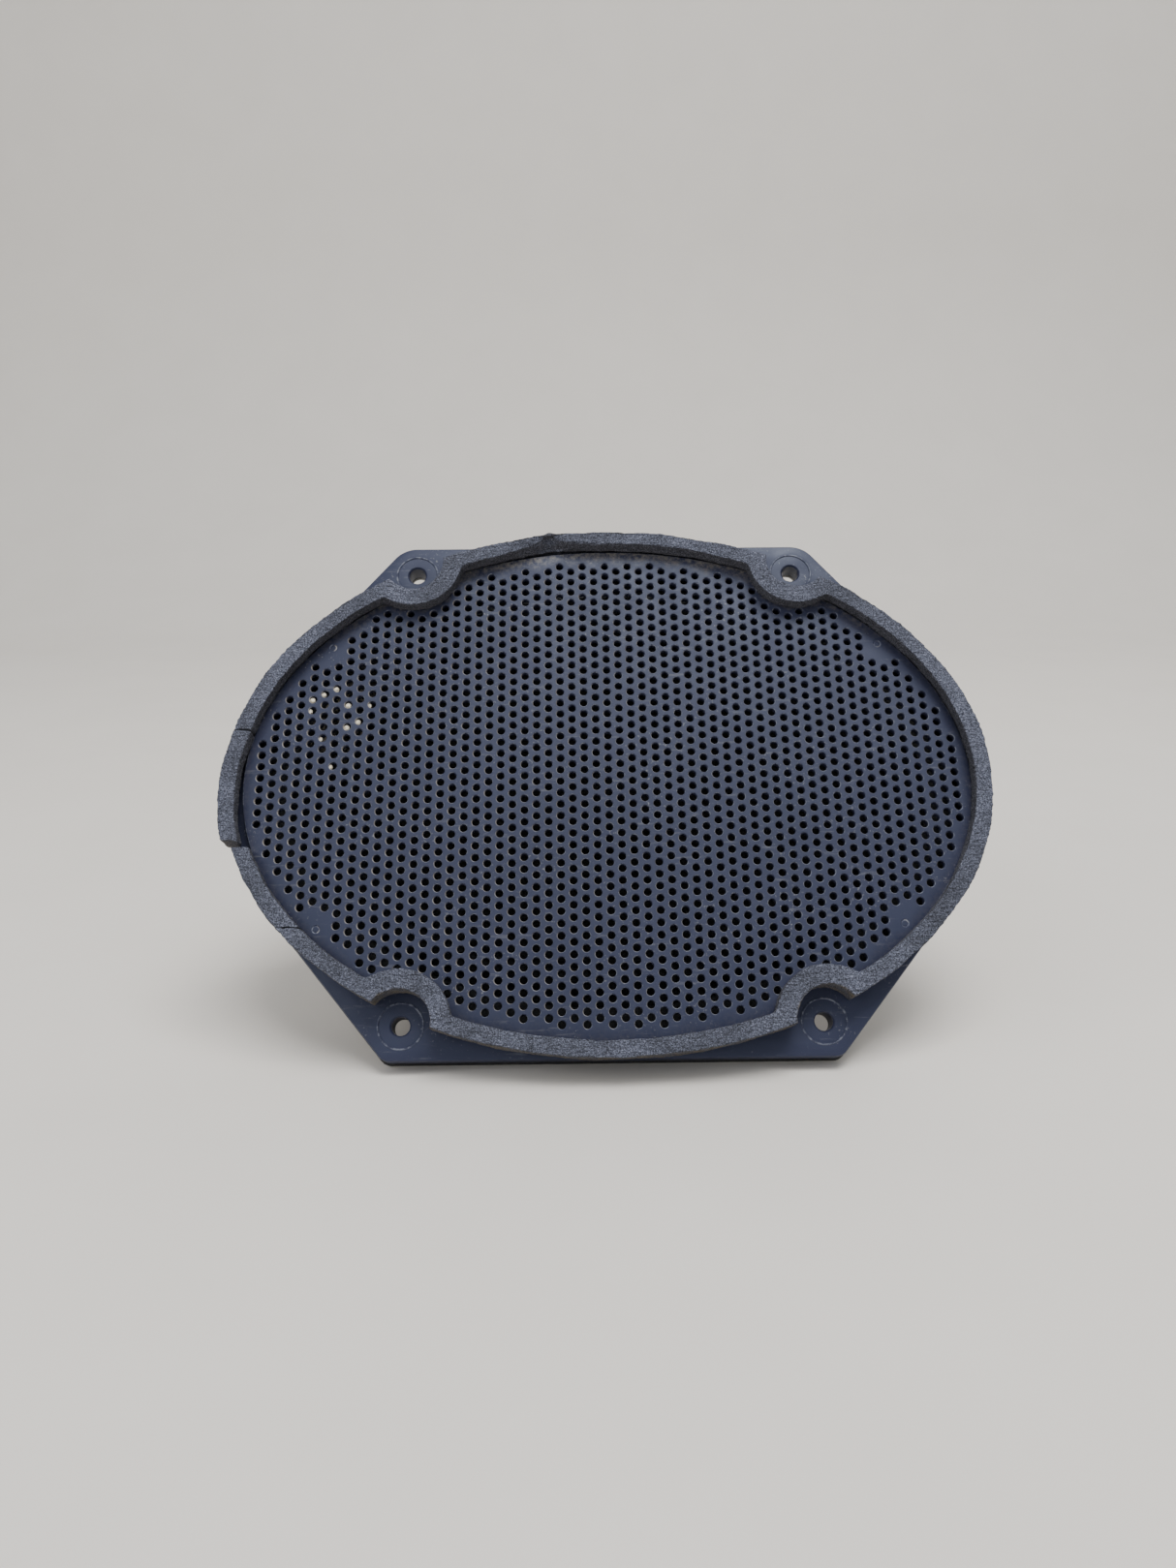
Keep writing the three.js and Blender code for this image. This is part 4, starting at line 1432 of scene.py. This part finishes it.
def moulded_plastic():
    """Blue-black plastic, with painted highlights and some wear on the holes' rims, painted highlights in
    their lower-left mouths, pale washer scuffs, dust and scuffs on the face and along the foam, and cream
    painted light in the holes that light shows through.
    """
    look = Look("moulded_plastic", 0.42)
    look.shader.inputs["Specular IOR Level"].default_value = 0.30
    look.shader.inputs["Specular Tint"].default_value = (0.80, 0.88, 1.0, 1)
    base = look.mix(look.grain(45, 4), (0.0195, 0.0220, 0.044), (0.0305, 0.0335, 0.064))
    # Painted highlight, with some wear, on the holes' rounded rims, and pale scuffs on the washer rings
    patchy = look.ramp(look.grain(1.6, 3, 0.65), (0.46, 0.06), (0.62, 1))
    base = look.mix(look.times(look.attribute("wear_and_rim_highlight"), patchy), base, (0.17, 0.18, 0.22))
    # Painted highlight: the lit lower-left crescent of each hole's mouth, tinted tan
    hole_crescent_highlight = look.attribute("hole_crescent_highlight")
    hole_crescent_highlight = look.times(hole_crescent_highlight, look.ramp(look.grain(5, 3), (0.35, 0.45), (0.6, 1)))
    base = look.mix(hole_crescent_highlight, base, (0.62, 0.54, 0.42))
    # Cream painted light, for the pale plugs in the holes that light shows through
    cream = look.mix(look.grain(0.6), (0.62, 0.53, 0.38), (0.85, 0.80, 0.66))
    dust = look.ramp(look.grain(0.8, 2, 0.6), (0.63, 0), (0.70, 1))
    patches = look.ramp(look.grain(14, 3), (0.46, 0), (0.66, 1))
    dust = look.times(dust, patches)
    scuffs = look.ramp(look.grain(1.6, 5, 0.7, look.stretched(0.12, 1, 1)), (0.60, 0), (0.70, 1))
    marks = look.maths("MAXIMUM", dust, look.times(scuffs, 0.4))
    base = look.mix(look.times(marks, 0.6), base, (0.20, 0.20, 0.21))
    edge_dust = look.attribute("edge_dust")
    edge_dust = look.times(edge_dust, look.ramp(look.grain(1.3, 5, 0.7), (0.40, 0), (0.68, 1)))
    base = look.mix(edge_dust, base, (0.22, 0.20, 0.17))
    look.colour(look.mix(look.attribute("see_through_light"), base, cream))
    look.roughness(look.ramp(look.grain(6, 4), (0.3, 0.36), (0.7, 0.54)))
    look.bump(look.grain(0.35, 2), 0.014)
    look.bump(look.grain(9, 2), 0.012)
    return look.material


def gasket_foam():
    """Open-grained grey foam, with painted shade on its sides, and brown dust along the cut edges."""
    look = Look("gasket_foam", 0.9)
    speckle = look.grain(0.36, 2, 0.7, swirl=0.6)
    dark, middle, light = (0.016, 0.017, 0.025), (0.056, 0.061, 0.086), (0.165, 0.176, 0.235)
    base = look.ramp(speckle, (0.36, dark), (0.5, middle), (0.66, light))
    shade = look.ramp(look.grain(14, 4, 0.6), (0.36, 0.75), (0.64, 1.3))
    # Painted shade: the walls that do not face the front are darkened
    shade = look.mix(look.attribute("front"), (0.75, 0.70, 0.64), shade)
    base = look.mix(1.0, base, shade, "MULTIPLY")
    spread = look.ramp(look.grain(3.0, 4, 0.65), (0.42, 0.0), (0.62, 1))
    dirt = look.times(look.attribute("dirt"), spread)
    crumbs = look.ramp(look.grain(0.5, 3, 0.7), (0.35, (0.022, 0.018, 0.013)), (0.7, (0.20, 0.165, 0.11)))
    look.colour(look.mix(dirt, base, crumbs))
    look.bump(speckle, 0.3)
    look.bump(look.grain(0.75, 2, 0.5, look.stretched(0.22, 1, 1), swirl=0.4), 0.9)
    look.bump(look.grain(2.2, 3, 0.6, swirl=0.8), 0.9)
    return look.material


def black_paint():
    """Thin satin black paint on pressed steel, a little dusty, with small rust spots."""
    look = Look("black_painted_steel", 0.38)
    base = look.mix(look.grain(30, 4), (0.007, 0.007, 0.008), (0.013, 0.013, 0.014))
    rust = look.ramp(look.grain(1.2, 5, 0.7), (0.64, 0), (0.70, 1))
    rust = look.times(rust, look.ramp(look.grain(18, 2), (0.50, 0), (0.62, 1)))
    base = look.mix(rust, base, look.mix(look.grain(0.5), (0.09, 0.028, 0.010), (0.20, 0.080, 0.03)))
    dust = look.ramp(look.grain(0.6, 3, 0.6), (0.52, 0), (0.75, 0.5))
    dust = look.times(dust, look.ramp(look.grain(25, 3), (0.38, 0.15), (0.65, 1)))
    look.colour(look.mix(dust, base, (0.15, 0.14, 0.125)))
    look.roughness(look.ramp(look.grain(3, 5), (0.35, 0.30), (0.65, 0.48)))
    look.bump(look.grain(0.5, 3), 0.015)
    look.bump(rust, 0.05)
    return look.material


def zinc_plate():
    """Clear-passivated zinc on turned steel: faint yellow and blue, with light stains and scratches."""
    look = Look("plated_steel", 0.32, 1.0)
    yellow, grey, blue = (0.50, 0.46, 0.35), (0.46, 0.46, 0.45), (0.37, 0.40, 0.45)
    base = look.ramp(look.grain(22, 3, 0.5), (0.38, blue), (0.5, grey), (0.62, yellow))
    stains = look.ramp(look.grain(3.5, 6, 0.72), (0.50, 0), (0.75, 0.8))
    base = look.mix(stains, base, (0.20, 0.175, 0.14))
    bloom = look.ramp(look.grain(0.7, 4, 0.7), (0.62, 0), (0.72, 0.5))
    look.colour(look.mix(bloom, base, (0.60, 0.59, 0.56)))
    look.roughness(look.ramp(look.grain(2.2, 6, 0.7), (0.35, 0.24), (0.65, 0.46)))
    look.bump(look.grain(0.6, 3), 0.008)
    look.bump(look.grain(0.5, 3, 0.6, look.stretched(0.06, 1, 1)), 0.008)
    return look.material


def ferrite():
    """Fired ceramic: nearly black, sparkling slightly, with pale scratches from handling."""
    look = Look("ferrite", 0.55)
    base = look.mix(look.grain(1.2, 5, 0.7), (0.018, 0.018, 0.020), (0.050, 0.051, 0.056))
    scratches = look.ramp(look.grain(1.0, 4, 0.7, look.stretched(1, 1, 0.08)), (0.64, 0), (0.70, 0.6))
    look.colour(look.mix(scratches, base, (0.15, 0.15, 0.155)))
    look.roughness(look.ramp(look.grain(1.5, 4), (0.3, 0.42), (0.7, 0.7)))
    look.bump(look.grain(0.5, 4), 0.05)
    return look.material


def cone_paper():
    """Felted black pulp: short fibres lie in it every way, some of them paler."""
    look = Look("cone_paper", 0.92)
    fibres = look.maths(
        "MAXIMUM",
        look.grain(0.8, 4, 0.7, look.stretched(0.15, 1, 1)),
        look.grain(0.8, 4, 0.7, look.stretched(1, 0.15, 0.6)),
    )
    dark, middle, pale = (0.008, 0.008, 0.008), (0.022, 0.021, 0.020), (0.07, 0.065, 0.06)
    base = look.ramp(fibres, (0.45, dark), (0.62, middle), (0.75, pale))
    look.colour(look.mix(look.ramp(look.grain(9, 4), (0.45, 0), (0.75, 0.3)), base, (0.05, 0.047, 0.042)))
    look.bump(fibres, 0.08)
    look.bump(look.grain(2, 3), 0.08)
    return look.material


def surround_foam():
    """Fine black foam, crumbly at its torn place, where patches are painted pale as the light that comes
    through the tear.
    """
    look = Look("surround_foam", 0.88)
    cells = look.grain(0.3, 3, 0.7)
    base = look.ramp(cells, (0.4, (0.006, 0.006, 0.007)), (0.65, (0.035, 0.035, 0.038)))
    # Pale patches at the torn place: painted light that comes through the tear, on crumbly residue
    residue_and_painted_light = look.ramp(look.grain(2.6, 4, 0.7), (0.50, 0), (0.56, 1))
    residue_and_painted_light = look.times(residue_and_painted_light, look.attribute("torn_and_lit"))
    look.colour(look.mix(residue_and_painted_light, base, look.mix(look.grain(0.8), (0.34, 0.28, 0.20), (0.72, 0.66, 0.55))))
    look.bump(cells, 0.1)
    look.bump(residue_and_painted_light, 0.25)
    return look.material


def spider_cloth():
    """Woven cotton stiffened with resin: the weave's two sets of threads, darker where resin lies."""
    look = Look("spider_cloth", 0.85)
    weave = look.maths(
        "MULTIPLY",
        look.grain(0.45, 1, 0.5, look.stretched(1, 0.1, 0.1)),
        look.grain(0.45, 1, 0.5, look.stretched(0.1, 1, 1)),
    )
    resin = look.mix(look.grain(6, 4), (0.24, 0.12, 0.022), (0.46, 0.27, 0.07))
    look.colour(look.mix(look.ramp(weave, (0.15, 0.65), (0.35, 0)), resin, (0.09, 0.045, 0.012)))
    look.roughness(look.ramp(look.grain(3, 3), (0.3, 0.65), (0.7, 0.95)))
    look.bump(weave, 0.15)
    return look.material


def plain_look(name, colour, roughness, metallic=0.0, size=2.0, spread=0.25, depth=0.02, stain=(0, 0, 0)):
    """A finish with gentle variation of colour, roughness and surface, and some stains."""
    look = Look(name, roughness, metallic)
    dark = tuple(c * (1 - spread) for c in colour)
    light = tuple(c * (1 + spread) for c in colour)
    base = look.mix(look.grain(size, 5, 0.6), dark, light)
    stains = look.ramp(look.grain(size * 1.7, 5, 0.7), (0.5, 0), (0.68, 0.55))
    look.colour(look.mix(stains, base, stain))
    look.roughness(look.ramp(look.grain(size * 2, 4), (0.3, roughness * 0.8), (0.7, min(roughness * 1.3, 1))))
    look.bump(look.grain(size / 3, 3), depth)
    return look.material


def copper_wire():
    stain = (0.13, 0.06, 0.035)
    return plain_look("copper_wire", (0.46, 0.21, 0.11), 0.40, 1.0, 1.2, 0.3, 0.01, stain)


def tinned_brass():
    stain = (0.20, 0.16, 0.09)
    return plain_look("tinned_brass", (0.42, 0.38, 0.28), 0.30, 1.0, 1.5, 0.2, 0.01, stain)


LOOKS = {
    "moulded_plastic": moulded_plastic(),
    "gasket_foam": gasket_foam(),
    "surround_foam": surround_foam(),
    "black_painted_steel": black_paint(),
    "cone_paper": cone_paper(),
    "former_paper": plain_look("former_paper", (0.25, 0.15, 0.06), 0.8, stain=(0.09, 0.05, 0.02)),
    "spider_cloth": spider_cloth(),
    "copper_wire": copper_wire(),
    "plated_steel": zinc_plate(),
    "ferrite": ferrite(),
    "terminal_board": plain_look("terminal_board", (0.045, 0.022, 0.012), 0.55, stain=(0.012, 0.008, 0.006)),
    "tinned_brass": tinned_brass(),
}


def dress(piece, slot_name):
    piece.data.materials.clear()
    piece.data.materials.append(LOOKS[slot_name])


def dress_frame():
    """Every CAD node that is shown gets the look of its slot."""
    for part in frame["record"]["subparts"]:
        node = frame["nodes"][part["node"]]
        for slot_in_use in node.material_slots:
            slot_in_use.material = LOOKS[part["material_slot"]]


def stand_for(piece, slot_name, body, *nodes):
    """The piece takes the place of these CAD nodes. Its mesh is moved into the row frame first."""
    piece.data.transform(piece.matrix_world)
    piece.matrix_world = Matrix.Identity(4)
    dress(piece, slot_name)
    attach(piece, body)
    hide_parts(*nodes)


def stand_for_bent(piece, slot_name, *nodes):
    """The same for a piece that lies between the two bodies and so rides on neither. Nothing here makes it
    bend.
    """
    dress(piece, slot_name)
    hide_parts(*nodes)


# ---- Stage, lights and camera ----


def stage():
    """A pale floor that curves up into a backdrop well behind the speaker."""
    half = 2.0
    height = 2.5
    turn = 0.45
    start = 0.75
    profile = [(-half, 0.0), (start, 0.0)]
    bend_up = np.linspace(0, math.pi / 2, 24)[1:]
    profile += [(start + turn * math.sin(t), turn * (1 - math.cos(t))) for t in bend_up]
    profile.append((start + turn, height))
    points = [(x, y, z) for y, z in profile for x in (-half, half)]
    faces = [(2 * i, 2 * i + 1, 2 * i + 3, 2 * i + 2) for i in range(len(profile) - 1)]
    mesh = bpy.data.meshes.new("floor")
    mesh.from_pydata(points, [], faces)
    floor = added("floor", mesh)
    mesh.polygons.foreach_set("use_smooth", [True] * len(mesh.polygons))
    look = Look("floor", 0.7)
    look.colour(look.mix(look.grain(60, 3), (0.66, 0.62, 0.57), (0.71, 0.67, 0.62)))
    mesh.materials.append(look.material)


def area_light(name, place, target, size, power):
    light = bpy.data.lights.new(name, "AREA")
    light.shape = "RECTANGLE"
    light.size, light.size_y = size
    light.energy = power
    lamp = added(name, light)
    lamp.location = place
    lamp.rotation_mode = "QUATERNION"
    lamp.rotation_quaternion = (Vector(target) - Vector(place)).to_track_quat("-Z", "Y")


def lights():
    middle = SPEAKER.translation
    area_light("key", (0.22, -0.30, 1.45), middle, (0.9, 0.7), 24)
    area_light("side", (-1.0, -0.8, 0.9), middle, (1.2, 1.0), 7)
    area_light("back", (0.5, 1.3, 1.1), middle, (1.2, 1.0), 12)
    world = bpy.data.worlds.new("studio")
    world.use_nodes = True
    background = world.node_tree.nodes["Background"]
    background.inputs["Color"].default_value = (0.90, 0.95, 1.0, 1)
    background.inputs["Strength"].default_value = 0.6
    bpy.context.scene.world = world


def camera():
    data = bpy.data.cameras.new("camera")
    data.lens = CAMERA_LENS
    data.sensor_width = 36
    data.clip_start = 0.01
    eye = added("camera", data)
    tilt = Matrix.Rotation(-CAMERA_TILT, 4, "X")
    yaw = Matrix.Rotation(-CAMERA_YAW, 4, "Y")
    roll = Matrix.Rotation(-CAMERA_ROLL, 4, "Z")
    flip = Matrix.Diagonal((1, -1, -1, 1))
    seen_from = (tilt @ yaw @ roll).inverted()
    place = Matrix.Translation(Vector(CAMERA_PLACE) * MM) @ flip @ seen_from @ flip
    eye.matrix_world = SPEAKER @ place
    bpy.context.scene.camera = eye


camera()
lights()
stage()
dress_frame()
stand_for(face_plate(), "moulded_plastic", "frame", "face_plate")
stand_for(foam_main(), "gasket_foam", "frame", "gasket_main")
stand_for(foam_lower_left(), "gasket_foam", "frame", "gasket_lower_left")
stand_for(foam_patch(), "gasket_foam", "frame", "gasket_patch")
stand_for(basket(), "black_painted_steel", "frame", "basket")
stand_for(top_plate(), "plated_steel", "frame", "top_plate")
stand_for(magnet(), "ferrite", "frame", "magnet")
stand_for(yoke(), "plated_steel", "frame", "yoke")
for number, place in enumerate(four_times(RIVET_PLACE), start=1):
    stand_for(motor_rivet(number, place), "plated_steel", "frame", f"motor_rivet_{number}")
stand_for(terminal_strip(), "terminal_board", "frame", "terminal_strip")
stand_for(terminal_rivet(), "plated_steel", "frame", "terminal_rivet")
stand_for(cone(), "cone_paper", "cone_assembly", "cone")
stand_for(dust_cap(), "cone_paper", "cone_assembly", "dust_cap")
stand_for(voice_coil_former(), "former_paper", "cone_assembly", "voice_coil_former")
stand_for(voice_coil_winding(), "copper_wire", "cone_assembly", "voice_coil_winding")
stand_for_bent(surround(), "surround_foam", "surround")
stand_for_bent(spider(), "spider_cloth", "spider")
for side, pole in ((1, "positive"), (-1, "negative")):
    stand_for(terminal_blade(side, f"tab_{pole}"), "tinned_brass", "frame", f"blade_{pole}")
    stand_for(eyelet(side, f"cone_eyelet_{pole}"), "tinned_brass", "cone_assembly", f"eyelet_{pole}")
    stand_for_bent(lead(side, f"twisted_lead_{pole}"), "copper_wire", f"lead_{pole}")
